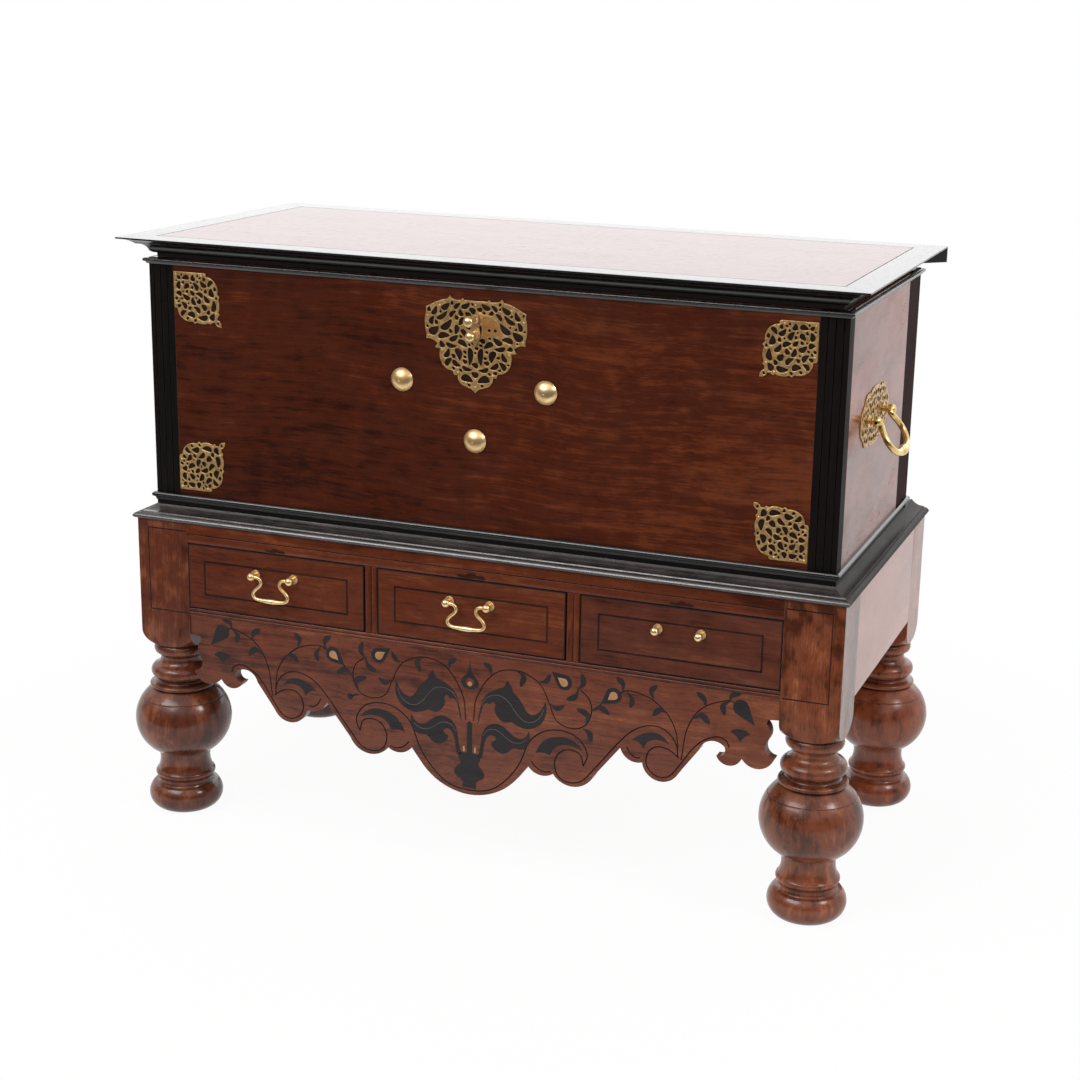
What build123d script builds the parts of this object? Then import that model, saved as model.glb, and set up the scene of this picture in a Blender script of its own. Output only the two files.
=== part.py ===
from build123d import *
import math
import os

# Dowry chest on a stand: a lidded box with pierced brass mounts, above three drawers on four turned legs.
# Millimetres. +Z is up, the front faces -Y, and the origin is on the floor at the middle of the footprint.

os.makedirs("parts", exist_ok=True)

# ---------------------------------------------------------------- driving dimensions: stand
stand_width = 1250.0
stand_depth = 616.0
post_size = 97.0
post_length = 199.0
turned_height = 342.0
ball_radius = 84.3
ball_line_radius = 1.1
rail_thickness = 22.0
top_rail_height = 34.0
rail_bead_height = 16.0
opening_height = 116.0
divider_width = 24.0
bead_rail_height = 13.0
bead_rail_depth = 60.0
side_board_height = 177.0
apron_thickness = 20.0
apron_drop = 249.0
apron_setback = 1.5
bead_depth = 3.0
runner_width = 26.0
guide_height = 22.0
stand_mould_height = 23.0
stand_mould_reach = 7.0
stand_mould_board = 70.0
back_ledge_reach = 40.0

# ---------------------------------------------------------------- driving dimensions: drawers
drawer_gap = 1.2
drawer_seat_gap = 0.3
drawer_back_room = 68.0
drawer_front_thickness = 20.0
drawer_side_thickness = 11.0
drawer_side_height = 96.0
drawer_bottom_thickness = 8.0
drawer_bottom_lift = 5.0
pull_spacing = 72.0
pull_height = 18.0
pull_reach = 16.5
pull_head_radius = 7.0
pull_neck_radius = 3.4
pull_flange_radius = 8.0
pull_flange_thickness = 2.4
pull_drop = 39.5
pull_waist = 17.0
pull_hip = 37.0
pull_corners = [4.5, 9.0, 9.0, 4.5]
pull_wire_radius = 2.4
pull_grip_radius = 3.5
pull_pin_radius = 1.6

# ---------------------------------------------------------------- driving dimensions: chest
chest_height = 426.0
chest_setback = 26.0
chest_back_setback = 60.0
chest_side_setback = 25.0
chest_board = 22.0
bottom_board = 16.0
bottom_lift = 8.0
stile_front = 46.0
stile_side = 30.0
facing = 5.0
reed_width = 9.0
reed_depth = 1.6
back_strip_width = 90.0
top_bead_height = 9.5
top_bead_reach = 8.0
top_bead_drop = 1.0
base_bead_height = 13.4
base_bead_reach = 7.0
base_bead_lift = 7.6

# ---------------------------------------------------------------- driving dimensions: lid
lid_thickness = 34.7
lid_seat_gap = 0.3
lid_side_overhang = 37.0
lid_front_overhang = 42.0
lid_back_overhang = 35.0
lid_border = 49.0
lid_edge = 2.6
lid_rim_step = 7.0
hinge_spacing = 760.0
hinge_width = 64.0
hinge_leaf = 2.4
hinge_leaf_length = 46.0
hinge_lid_leaf_length = 26.0
knuckle_radius = 4.6
knuckle_gap = 0.3
hinge_pin_radius = 2.0

# ---------------------------------------------------------------- driving dimensions: brass mounts
plate_thickness = 1.6
corner_plate_size = 88.0
corner_plate_margin = 10.0
escutcheon_width = 174.0
escutcheon_height = 154.0
escutcheon_drop = 22.0
lock_x = -4.0
lock_case_width = 110.0
lock_case_height = 84.0
lock_case_depth = 17.0
lock_case_drop = 6.0
keyhole_width = 7.0
keyhole_height = 16.0
keyhole_drop = 76.0
cover_width = 17.0
cover_length = 44.0
cover_pivot_rise = 17.0
cover_gap = 0.3
cover_knob_radius = 5.4
cover_knob_drop = 25.0
cover_knob_stem = 6.0
stud_radius = 2.5
staple_width = 26.0
staple_drop = 20.0
staple_radius = 2.6
staple_clear = 6.0
staple_plate_length = 62.0
staple_plate_thickness = 2.6
boss_radius = 19.5
boss_height = 12.0
boss_spread = 125.0
boss_drop = 167.0
boss_low_drop = 257.0
boss_x = -8.0
handle_plate_width = 212.0
handle_plate_height = 96.0
handle_height = 230.0
handle_setback = 209.0
handle_post_spacing = 108.0
handle_reach = 15.0
handle_head_radius = 8.5
handle_neck_radius = 5.0
handle_flange_radius = 10.5
handle_flange_thickness = 3.0
handle_drop = 72.0
handle_waist = 31.0
handle_hip = 60.0
handle_corners = [6.0, 30.0, 30.0, 6.0]
handle_bar_radius = 4.6
handle_grip_radius = 8.0
handle_pin_radius = 2.6
handle_lift = 33.0

# ---------------------------------------------------------------- driving dimensions: cuts in the plates
cut_length = 9.2
cut_width = 6.2
cut_hook = 0.22
cut_lean = 34.0
cut_rim = 6.4
cut_spacing = 10.0
cut_grid = 1.5
escutcheon_strip = 8.5

# ---------------------------------------------------------------- named clearances
running_gap = 0.05
side_gap = 0.3

# ---------------------------------------------------------------- levels and faces worked out from them
stand_top = turned_height + post_length
opening_top = stand_top - top_rail_height
opening_bottom = opening_top - opening_height
bead_rail_bottom = opening_bottom - bead_rail_height
chest_base = stand_top + stand_mould_height
chest_top = chest_base + chest_height
lid_base = chest_top + lid_seat_gap
lid_top = lid_base + lid_thickness

stand_face = -stand_depth / 2
stand_back = stand_face + stand_depth
drawer_length = stand_depth - drawer_back_room
chest_face = stand_face + chest_setback
chest_back_face = stand_back - chest_back_setback

half_stand = stand_width / 2
half_chest = half_stand - chest_side_setback
post_inner = half_stand - post_size
leg_x = half_stand - post_size / 2
leg_front_y = stand_face + post_size / 2
leg_back_y = stand_back - post_size / 2
drawer_bay = (2 * post_inner - 2 * divider_width) / 3
divider_x = drawer_bay / 2 + divider_width / 2
drawer_centres = {"left": -drawer_bay - divider_width, "middle": 0.0, "right": drawer_bay + divider_width}
pull_z = (opening_top + opening_bottom) / 2 + pull_height


# ---------------------------------------------------------------- helpers
def block(low, high):
    """A box from its lowest to its highest corner."""
    size = [h - l for l, h in zip(low, high)]
    middle = [(l + h) / 2 for l, h in zip(low, high)]
    return Pos(*middle) * Box(*size)


def rod(start, end, radius):
    """A round rod between two points."""
    axis = Vector(*end) - Vector(*start)
    plane = Plane(origin=start, z_dir=axis.normalized())
    return extrude(plane * Circle(radius), amount=axis.length)


def arc_chain(start, steps):
    """Edges from start through steps: an end alone is a line, and a (through, end) pair is an arc."""
    edges = []
    here = start
    for step in steps:
        if isinstance(step[0], tuple):
            through, end = step
            edges.append(ThreePointArc(here, through, end))
        else:
            end = step
            edges.append(Line(here, end))
        here = end
    return edges


def outline_face(start, steps):
    """A flat face inside a closed chain of lines and arcs."""
    edges = arc_chain(start, steps)
    return make_face(edges)


def lathe(start, steps):
    """A turned solid about Z from an outline of (radius, height) points."""
    return revolve(Plane.XZ * outline_face(start, steps), Axis.Z)


def side_plane(side, half_width, front, back):
    """A plane across the middle of one side's moulding: its X points out from the face, and its Y up."""
    middle = (front + back) / 2
    outward, origin = {
        "front": ((0, -1, 0), (0, front, 0)),
        "back": ((0, 1, 0), (0, back, 0)),
        "left": ((-1, 0, 0), (-half_width, middle, 0)),
        "right": ((1, 0, 0), (half_width, middle, 0)),
    }[side]
    return Plane(origin=origin, x_dir=outward, z_dir=Vector(*outward).cross(Vector(0, 0, 1)))


def mitred_length(side, section, half_width, front, back, mitre_back=False):
    """One length of moulding round a rectangle, cut at 45 degrees at its front corners."""
    reach = 2 * lid_border
    inset = 2 * stand_mould_board
    end = back + reach if mitre_back else back
    back_corner = (half_width - inset, back - inset if mitre_back else end)
    plans = {
        "front": [(-half_width - reach, front - reach), (half_width + reach, front - reach),
                  (half_width - inset, front + inset), (-half_width + inset, front + inset)],
        "back": [(-half_width - reach, back + reach), (half_width + reach, back + reach),
                 (half_width - inset, back - inset), (-half_width + inset, back - inset)],
        "right": [(half_width + reach, front - reach), (half_width + reach, end),
                  back_corner, (half_width - inset, front + inset)],
    }
    plans["left"] = [(-x, y) for x, y in plans["right"]]
    plane = side_plane(side, half_width, front, back)
    bar = extrude(plane * section, amount=half_width + reach, both=True)
    prism = extrude(make_face(Polyline(*plans[side], close=True)), amount=2 * lid_top)
    return bar & prism


def mirrored_x(shape):
    return mirror(shape, about=Plane.YZ)


def save(name, *solids):
    """Write one node, with each of its solids on its own."""
    pieces = [s for shape in solids for s in shape.solids()]
    node = Compound(children=pieces)
    node.label = name
    export_step(node, os.path.join("parts", name + ".step"))


# ---------------------------------------------------------------- stand: turned legs
def leg_solid():
    """Foot, waist, ball, ring, torus and collar turned under a square post with a turned shoulder."""
    corner = post_size / math.sqrt(2)
    drawn_height, drawn_ball = 342.0, 84.3
    k = turned_height / drawn_height
    r = ball_radius / drawn_ball
    neck, collar_top, post_low, line_height = 43 * r, 311 * k, 300 * k, 210 * k
    turning = lathe((0, 0), [
        (47 * r, 0),
        ((65 * r, 25 * k), (57 * r, 46 * k)),
        (50 * r, 47.5 * k),
        ((47.5 * r, 54 * k), (49 * r, 60 * k)),
        ((52.5 * r, 66 * k), (49 * r, 72 * k)),
        ((44 * r, 90 * k), (46 * r, 107 * k)),
        ((ball_radius, 170 * k), (52 * r, 229 * k)),
        (55.5 * r, 230 * k),
        ((57 * r, 233.5 * k), (55 * r, 237 * k)),
        (46 * r, 238.5 * k),
        ((43.5 * r, 242 * k), (46.5 * r, 246.5 * k)),
        ((54 * r, 259.5 * k), (44 * r, 271 * k)),
        ((37 * r, 280 * k), (40 * r, 291 * k)),
        (45 * r, 293.5 * k),
        ((47.5 * r, 301 * k), (45 * r, 308.5 * k)),
        (neck, collar_top),
        (0, collar_top),
        (0, 0),
    ])
    shoulder = lathe((0, collar_top), [
        (neck, collar_top),
        ((61 * r, 321 * k), (corner + 0.1, turned_height)),
        (corner + 0.1, stand_top),
        (0, stand_top),
        (0, collar_top),
    ])
    half = post_size / 2
    post = block((-half, -half, post_low), (half, half, stand_top)) & shoulder
    turned_line = Pos(0, 0, line_height) * Torus(ball_radius * 0.8515, ball_line_radius)
    return turning + post - turned_line


for side, sx in (("left", -1), ("right", 1)):
    for end, leg_y in (("front", leg_front_y), ("back", leg_back_y)):
        save(f"leg_{end}_{side}", Pos(sx * leg_x, leg_y, 0) * leg_solid())


# ---------------------------------------------------------------- stand: rails, dividers, boards
def double_bead(width):
    """A strip's section from -width/2 to width/2, with two beads worked on its front edge at Y = 0."""
    half = width / 2
    quirk = bead_depth
    return [
        ((-half / 2, 0), (0, quirk)),
        ((half / 2, 0), (half, quirk)),
    ]


def bead_edge_rail():
    """The rail over the drawers, with a bead and a quirk worked along its lower edge."""
    rounding = bead_depth / 2
    section = outline_face((0, -rounding), [
        ((rail_bead_height / 2, 0), (rail_bead_height - 1, -rounding)),
        (rail_bead_height, -bead_depth),
        (rail_bead_height + 1.2, 0),
        (top_rail_height, 0),
        (top_rail_height, -rail_thickness),
        (0, -rail_thickness),
        (0, -rounding),
    ])
    plane = Plane(origin=(-post_inner, stand_face, opening_top), x_dir=(0, 0, 1), z_dir=(1, 0, 0))
    return extrude(plane * section, amount=2 * post_inner)


save("front_top_rail", bead_edge_rail())

for side, sx in (("left", -1), ("right", 1)):
    half = divider_width / 2
    section = outline_face((-half, bead_depth), double_bead(divider_width) + [
        (half, rail_thickness), (-half, rail_thickness), (-half, bead_depth)])
    divider = extrude(Pos(sx * divider_x, stand_face, opening_bottom) * section, amount=opening_height)
    save(f"drawer_divider_{side}", divider)

half = bead_rail_height / 2
rail_section = outline_face((-half, -bead_depth), [
    ((-half / 2, 0), (0, -bead_depth)),
    ((half / 2, 0), (half, -bead_depth)),
    (half, -bead_rail_depth), (-half, -bead_rail_depth), (-half, -bead_depth)])
rail_plane = Plane(origin=(-post_inner, stand_face, bead_rail_bottom + half),
                   x_dir=(0, 0, 1), z_dir=(1, 0, 0))
save("bead_rail", extrude(rail_plane * rail_section, amount=2 * post_inner)
     - block((-half_stand, stand_face + rail_thickness, 0), (-post_inner, stand_back, stand_top)))


def apron_solid():
    """A board whose lower edge is cut in lobes, cusps and hooks, the same on both sides of its centre."""
    drawn_half, drawn_drop = 528.0, 249.0
    kx, kz = post_inner / drawn_half, apron_drop / drawn_drop
    scallops = [
        ((50, -236.5), (84, -209.5)), (106, -181),
        ((130, -193.5), (150, -187.5)),
        ((185, -204.5), (221, -180)), (266, -123),
        ((279, -140), (304, -142.4)),
        ((338, -170.5), (366, -151.5)), (399, -106),
        ((420, -87), (441, -94)),
        ((441, -105), (428, -111)),
        ((446, -124.5), (470, -109.5)),
        ((495, -123), (523, -102)),
        ((507.5, -90), (510, -75)),
        ((514.5, -60), (507, -44)),
        (511, -37.5), (drawn_half, -36),
        (drawn_half, 0),
    ]

    def scaled(point, sign):
        return (sign * kx * point[0], kz * point[1])

    def chain(sign):
        return [(scaled(s[0], sign), scaled(s[1], sign)) if isinstance(s[0], tuple) else scaled(s, sign)
                for s in scallops]

    start = (0, -drawn_drop * kz)
    edges = arc_chain(start, chain(1)) + arc_chain(start, chain(-1))
    edges.append(Line(scaled(scallops[-1], 1), scaled(scallops[-1], -1)))
    plane = Plane(origin=(0, stand_face + apron_setback, bead_rail_bottom),
                  x_dir=(1, 0, 0), z_dir=(0, -1, 0))
    return extrude(plane * make_face(edges), amount=-apron_thickness)


save("apron", apron_solid())

side_board_bottom = stand_top - side_board_height
for side, sx in (("left", -1), ("right", 1)):
    board = block((half_stand - rail_thickness, stand_face + post_size, side_board_bottom),
                  (half_stand, stand_back - post_size, stand_top))
    save(f"side_board_{side}", board if sx > 0 else mirrored_x(board))
save("back_board", block((-post_inner, stand_back - rail_thickness, side_board_bottom),
                         (post_inner, stand_back, stand_top)))


def runner(centre, half_guide, left_shelf, right_shelf):
    """A drawer runner: a shelf for the drawer's side to slide on, and a guide beside it."""
    front = stand_face + bead_rail_depth
    back = stand_back - rail_thickness
    shelf = block((centre - half_guide - left_shelf, front, bead_rail_bottom),
                  (centre + half_guide + right_shelf, back, opening_bottom))
    guide = block((centre - half_guide, front, opening_bottom),
                  (centre + half_guide, back - post_size, opening_bottom + guide_height))
    return shelf + guide


end_guide = (half_stand - rail_thickness - post_inner) / 2
end_centre = post_inner + end_guide
leg_clear = block((post_inner, stand_face, 0), (half_stand, stand_face + post_size, stand_top))
leg_clear_back = block((post_inner, stand_back - post_size, 0), (half_stand, stand_back, stand_top))
end_runner = runner(end_centre, end_guide, runner_width, 0) - leg_clear - leg_clear_back
middle_runner = runner(divider_x, divider_width / 2, runner_width, runner_width)
save("drawer_runners", end_runner, mirrored_x(end_runner), middle_runner, mirrored_x(middle_runner))


# ---------------------------------------------------------------- stand: top moulding that carries the chest
def stand_mould_section():
    """Flat on top where the chest stands, then a cavetto down to a step and a small rounded edge."""
    edge = half_stand - half_chest
    top = chest_base
    return outline_face((-stand_mould_board, stand_top), [
        (-stand_mould_board, top),
        (0, top),
        ((edge * 0.45, top - 8.5), (edge * 0.86, top - 10)),
        (edge * 0.9, top - 12),
        ((edge + stand_mould_reach * 0.7, top - 14.5), (edge + stand_mould_reach, top - 18)),
        ((edge + stand_mould_reach * 0.7, top - 21), (edge, stand_top)),
        (-stand_mould_board, stand_top),
    ])


for side in ("front", "left", "right"):
    save(f"stand_moulding_{side}",
         mitred_length(side, stand_mould_section(), half_chest, chest_face, stand_back))
ledge_half = half_chest - stand_mould_board
save("stand_moulding_back", block((-ledge_half, chest_back_face - back_ledge_reach, stand_top),
                                  (ledge_half, stand_back, chest_base)))


# ---------------------------------------------------------------- chest: boards and ebony facings
def corner_stile():
    """An angle of ebony facing round the front right corner, with reeds worked on its front."""
    plain = block((half_chest - stile_front, chest_face, chest_base),
                  (half_chest, chest_face + facing, chest_top))
    plain += block((half_chest - facing, chest_face, chest_base),
                   (half_chest, chest_face + stile_side, chest_top))
    reeded = plain
    for i in range(1, 4):
        groove_x = half_chest - stile_front + i * (stile_front - reed_width) / 3
        groove = block((groove_x - reed_depth / 2, chest_face - 1, chest_base),
                       (groove_x + reed_depth / 2, chest_face + reed_depth, chest_top))
        reeded -= groove
    return plain, reeded


stile_blank, stile_right = corner_stile()
strip_right = block((half_chest - facing, chest_back_face - back_strip_width, chest_base),
                    (half_chest, chest_back_face, chest_top))
facings = stile_blank + strip_right
facings += mirrored_x(facings)

keyhole_z = chest_top - keyhole_drop
keyhole_cut = block((lock_x - keyhole_width / 2, chest_face - 10, keyhole_z - keyhole_height / 2),
                    (lock_x + keyhole_width / 2, chest_face + chest_board + lock_case_depth - 3,
                     keyhole_z + keyhole_height / 2))

front_board = block((-half_chest, chest_face, chest_base), (half_chest, chest_face + chest_board, chest_top))
save("chest_front", front_board - facings - keyhole_cut)
back_board = block((-half_chest, chest_back_face - chest_board, chest_base),
                   (half_chest, chest_back_face, chest_top))
save("chest_back", back_board - facings)
side_wall = block((half_chest - chest_board, chest_face + chest_board, chest_base),
                  (half_chest, chest_back_face - chest_board, chest_top))
save("chest_side_right", side_wall - facings)
save("chest_side_left", mirrored_x(side_wall - facings))
inner_half = half_chest - chest_board
bottom_low = chest_base + bottom_lift
save("chest_bottom", block((-inner_half, chest_face + chest_board, bottom_low),
                           (inner_half, chest_back_face - chest_board, bottom_low + bottom_board)))
save("corner_stile_right", stile_right)
save("corner_stile_left", mirrored_x(stile_right))
save("side_back_strips", strip_right, mirrored_x(strip_right))


def bead_section(low, high, reach):
    """A planted bead: a rounded nose between two small flats."""
    nose = (high - low) * 0.31
    neck = reach - nose
    return outline_face((0, low), [
        (0, high),
        (neck, high),
        ((reach, high - nose), (neck, high - 2 * nose)),
        (neck * 0.5, low),
        (0, low),
    ])


top_bead_high = chest_top - top_bead_drop
top_bead = bead_section(top_bead_high - top_bead_height, top_bead_high, top_bead_reach)
base_bead_low = chest_base + base_bead_lift
base_bead = bead_section(base_bead_low, base_bead_low + base_bead_height, base_bead_reach)
for name, section in (("top_bead", top_bead), ("base_bead", base_bead)):
    save(name, *[mitred_length(side, section, half_chest, chest_face, chest_back_face)
                 for side in ("front", "left", "right")])


# ---------------------------------------------------------------- lid
rim = lid_border - lid_side_overhang
lid_front = chest_face - (lid_front_overhang - lid_side_overhang)
lid_back = chest_back_face + (lid_back_overhang - lid_side_overhang)
save("lid_panel", block((-half_chest + rim, lid_front + rim, lid_base),
                        (half_chest - rim, lid_back - rim, lid_top)))

lip = lid_side_overhang
border_low = lid_base + lid_rim_step
border_drop = lid_top - border_low
border_section = outline_face((-rim, border_low), [
    (-rim, lid_top),
    (lip, lid_top),
    (lip, lid_top - lid_edge),
    ((lip * 0.7, lid_top - border_drop * 0.16), (lip * 0.42, lid_top - border_drop * 0.36)),
    (lip * 0.36, lid_top - border_drop * 0.42),
    ((lip * 0.02, lid_top - border_drop * 0.62), (-rim * 0.2, lid_top - border_drop * 0.85)),
    ((-rim * 0.6, lid_top - border_drop * 0.97), (-rim, border_low)),
])
plain_section = outline_face((-rim, border_low), [
    (-rim, lid_top), (lip, lid_top), (lip, border_low), (-rim, border_low)])
for side in ("front", "left", "right"):
    save(f"lid_border_{side}",
         mitred_length(side, border_section, half_chest, lid_front, lid_back, mitre_back=True))
save("lid_border_back", mitred_length("back", plain_section, half_chest, lid_front, lid_back))

# ---------------------------------------------------------------- lid hinges
hinge_y = chest_back_face + knuckle_radius + knuckle_gap
hinge_z = lid_base + lid_rim_step - knuckle_radius - hinge_leaf / 2
middle_knuckle = hinge_width / 3


def knuckle(x_low, x_high):
    return rod((x_low, hinge_y, hinge_z), (x_high, hinge_y, hinge_z), knuckle_radius)


def hinge(centre):
    """A butt hinge behind the lid: two knuckles on the chest's leaf, one on the lid's, and a pin."""
    low, high = centre - hinge_width / 2, centre + hinge_width / 2
    mid_low, mid_high = centre - middle_knuckle / 2, centre + middle_knuckle / 2
    bore = rod((low - 1, hinge_y, hinge_z), (high + 1, hinge_y, hinge_z), hinge_pin_radius + running_gap)
    slot = block((mid_low, hinge_y - knuckle_radius - hinge_leaf, hinge_z - knuckle_radius - 1),
                 (mid_high, hinge_y + knuckle_radius + 1, lid_base + lid_rim_step))
    chest_leaf = block((low, chest_back_face, hinge_z - hinge_leaf_length),
                       (high, chest_back_face + hinge_leaf, hinge_z))
    chest_leaf += knuckle(low, mid_low) + knuckle(mid_high, high)
    chest_leaf = chest_leaf - slot - bore
    lid_leaf = block((low, hinge_y, border_low - hinge_leaf),
                     (high, hinge_y + hinge_lid_leaf_length, border_low))
    side_clear = [block((a, hinge_y - knuckle_radius - 1, hinge_z - knuckle_radius - 1),
                        (b, hinge_y + knuckle_radius + knuckle_gap, border_low))
                  for a, b in ((low - 1, mid_low + knuckle_gap), (mid_high - knuckle_gap, high + 1))]
    lid_leaf = lid_leaf - side_clear[0] - side_clear[1]
    lid_leaf += knuckle(mid_low + knuckle_gap, mid_high - knuckle_gap)
    lid_leaf += block((mid_low + knuckle_gap, hinge_y, hinge_z),
                      (mid_high - knuckle_gap, hinge_y + knuckle_radius, border_low))
    lid_leaf = lid_leaf - bore
    pin = rod((low, hinge_y, hinge_z), (high, hinge_y, hinge_z), hinge_pin_radius)
    return chest_leaf, lid_leaf, pin


hinges = [hinge(-hinge_spacing / 2), hinge(hinge_spacing / 2)]
for index, name in enumerate(("hinge_leaves_chest", "hinge_leaves_lid", "hinge_pins")):
    save(name, *[h[index] for h in hinges])

# ---------------------------------------------------------------- lock
inner_face = chest_face + chest_board
case_top = chest_top - lock_case_drop
lock_case = block((lock_x - lock_case_width / 2, inner_face, case_top - lock_case_height),
                  (lock_x + lock_case_width / 2, inner_face + lock_case_depth, case_top))
staple_y = inner_face + lock_case_depth / 2
slot_half = staple_width / 2 + staple_clear
staple_slot = block((lock_x - slot_half, staple_y - staple_radius - 2, case_top - staple_drop - 4),
                    (lock_x + slot_half, staple_y + staple_radius + 2, case_top + 1))
save("lock_case", lock_case - keyhole_cut - staple_slot)

plate_low = lid_base - staple_plate_thickness
staple = block((lock_x - staple_plate_length / 2, inner_face + 1, plate_low),
               (lock_x + staple_plate_length / 2, inner_face + lock_case_depth - 1, lid_base))
leg_run = staple_width / 2 - staple_radius
bow_z = case_top - staple_drop + leg_run
for sx in (-1, 1):
    staple_x = lock_x + sx * leg_run
    staple += rod((staple_x, staple_y, plate_low + 0.5), (staple_x, staple_y, bow_z), staple_radius)
bow = ThreePointArc((lock_x - leg_run, staple_y, bow_z), (lock_x, staple_y, bow_z - leg_run),
                    (lock_x + leg_run, staple_y, bow_z))
bow_plane = Plane(origin=(lock_x - leg_run, staple_y, bow_z), z_dir=(0, 0, -1))
staple += sweep(bow_plane * Circle(staple_radius), path=bow)
save("lock_staple", staple)


# ---------------------------------------------------------------- pierced brass plates
def leaf_cut(x, y, turn, hook):
    """A curved leaf to be sawn out of a plate: two arcs that meet in a point at each end."""
    half = cut_length / 2
    outer = ThreePointArc((-half, 0), (0, cut_width * (0.5 + hook)), (half, 0))
    inner = ThreePointArc((-half, 0), (0, -cut_width * (0.5 - hook)), (half, 0))
    return Pos(x, y) * Rot(0, 0, turn) * make_face([outer, inner])


def inside(x, y, polygon):
    """Whether a point is inside a polygon, by the number of its sides to the point's right."""
    crossed = False
    for (ax, ay), (bx, by) in zip(polygon, polygon[1:] + polygon[:1]):
        if (ay > y) != (by > y) and x < ax + (y - ay) * (bx - ax) / (by - ay):
            crossed = not crossed
    return crossed


def pierced(face, sawn, mirrored, on_axis=()):
    """Saw leaves through a plate, from its edge inward, each with its mirror images, clear of the rest."""
    outline = face.faces()[0].outer_wire()
    count = round(outline.length / cut_grid * 1.5)
    edge = [(outline @ (i / count), outline % (i / count)) for i in range(count)]
    edge = [(p.X, p.Y, math.degrees(math.atan2(t.Y, t.X))) for p, t in edge]
    polygon = [(x, y) for x, y, _ in edge]
    box = face.bounding_box()
    places = []
    for i in range(math.ceil(box.min.X / cut_grid), math.ceil(box.max.X / cut_grid)):
        for j in range(math.ceil(box.min.Y / cut_grid), math.ceil(box.max.Y / cut_grid)):
            x, y = i * cut_grid, j * cut_grid
            if sawn(x, y) and inside(x, y, polygon):
                depth, along = min((math.dist((x, y), (ex, ey)), turn) for ex, ey, turn in edge)
                if depth > cut_rim:
                    places.append((depth, x, y, along))
    taken = [(x, y) for x, y, _ in on_axis]
    cuts = [leaf_cut(x, y, turn, 0.0) for x, y, turn in on_axis]
    for depth, x, y, along in sorted(places):
        side = 1 if len(cuts) % 3 else -1
        leaves = [(x, y, along + side * cut_lean, side * cut_hook)]
        leaves += mirrored(*leaves[0])
        near = [(lx, ly) for lx, ly, _, _ in leaves[1:]] + taken
        if all(math.dist((x, y), other) >= cut_spacing for other in near):
            taken += [(lx, ly) for lx, ly, _, _ in leaves]
            cuts += [leaf_cut(*leaf) for leaf in leaves]
    return face - cuts


def in_x(x, y, turn, hook):
    """A leaf's mirror image on the other side of the upright axis."""
    return -x, y, 180 - turn, -hook


def in_y(x, y, turn, hook):
    """A leaf's mirror image on the other side of the level axis."""
    return x, -y, -turn, -hook


def corner_plate_face():
    """Two straight sides at the outer corner, then two lobes on each inner side, and a finial."""
    s = corner_plate_size / 88.0
    half_edge = [
        (54 * s, 0),
        ((72 * s, 10 * s), (75 * s, 30 * s)),
        (79 * s, 34 * s),
        ((80 * s, 54 * s), (75 * s, 66 * s)),
        (77.5 * s, 72.5 * s),
        ((86 * s, 79 * s), (88 * s, 88 * s)),
    ]
    other = [tuple(point[::-1] for point in step) if isinstance(step[0], tuple) else step[::-1]
             for step in half_edge]
    face = make_face(arc_chain((0, 0), half_edge) + arc_chain((0, 0), other))
    return pierced(face, lambda x, y: x > y and x + y < 146 * s,
                   lambda x, y, turn, hook: [(y, x, 90 - turn, -hook)],
                   [(along * s, along * s, 45) for along in (9.5, 24, 38, 52, 66)])


front_plane = Plane(origin=(0, chest_face, 0), x_dir=(1, 0, 0), z_dir=(0, -1, 0))
corner_x = half_chest - stile_front - 1.0
corner_high = top_bead_high - top_bead_height - corner_plate_margin
corner_low = base_bead_low + base_bead_height + corner_plate_margin
corner_plates = []
for sx in (-1, 1):
    for z, sz in ((corner_high, -1), (corner_low, 1)):
        face = corner_plate_face()
        if sx > 0:
            face = mirror(face, about=Plane.YZ)
        if sz < 0:
            face = mirror(face, about=Plane.XZ)
        placed = front_plane * (Pos(sx * corner_x, z) * face)
        corner_plates.append(extrude(placed, amount=plate_thickness, dir=(0, -1, 0)))
save("corner_plates", *corner_plates)


def mirrored_outline(start, steps):
    """A face whose outline is given for its right half, from the top centre to the bottom centre."""
    def flip(point):
        return (-point[0], point[1])
    left = [(flip(s[0]), flip(s[1])) if isinstance(s[0], tuple) else flip(s) for s in steps]
    return make_face(arc_chain(start, steps) + arc_chain(start, left))


def escutcheon_face():
    """A heart of three pairs of lobes that narrow to a point, with a plain strip down the middle."""
    kx, kz = escutcheon_width / 174.0, escutcheon_height / 154.0

    def at(x, z):
        return (x * kx, z * kz)

    face = mirrored_outline(at(0, -10), [
        at(14, -8),
        (at(29, -7), at(41, -1)),
        (at(67, -7), at(81, -22)),
        (at(87, -44), at(82, -65)),
        at(67, -76),
        at(65, -80),
        at(56, -79),
        (at(59, -96), at(49, -110)),
        at(38, -115),
        at(35, -119),
        at(30, -117),
        (at(30, -133), at(15, -142)),
        at(0, -154),
    ])
    return pierced(face, lambda x, z: x > escutcheon_strip, lambda *leaf: [in_x(*leaf)])


escutcheon_top = chest_top - escutcheon_drop
lock_plane = Plane(origin=(lock_x, chest_face, escutcheon_top), x_dir=(1, 0, 0), z_dir=(0, -1, 0))
escutcheon = extrude(lock_plane * escutcheon_face(), amount=plate_thickness) - keyhole_cut

# The keyhole cover hangs from a knobbed stud and swings aside.
cover_back = chest_face - plate_thickness - cover_gap
cover_front = cover_back - plate_thickness
stud_z = keyhole_z + cover_pivot_rise


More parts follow.
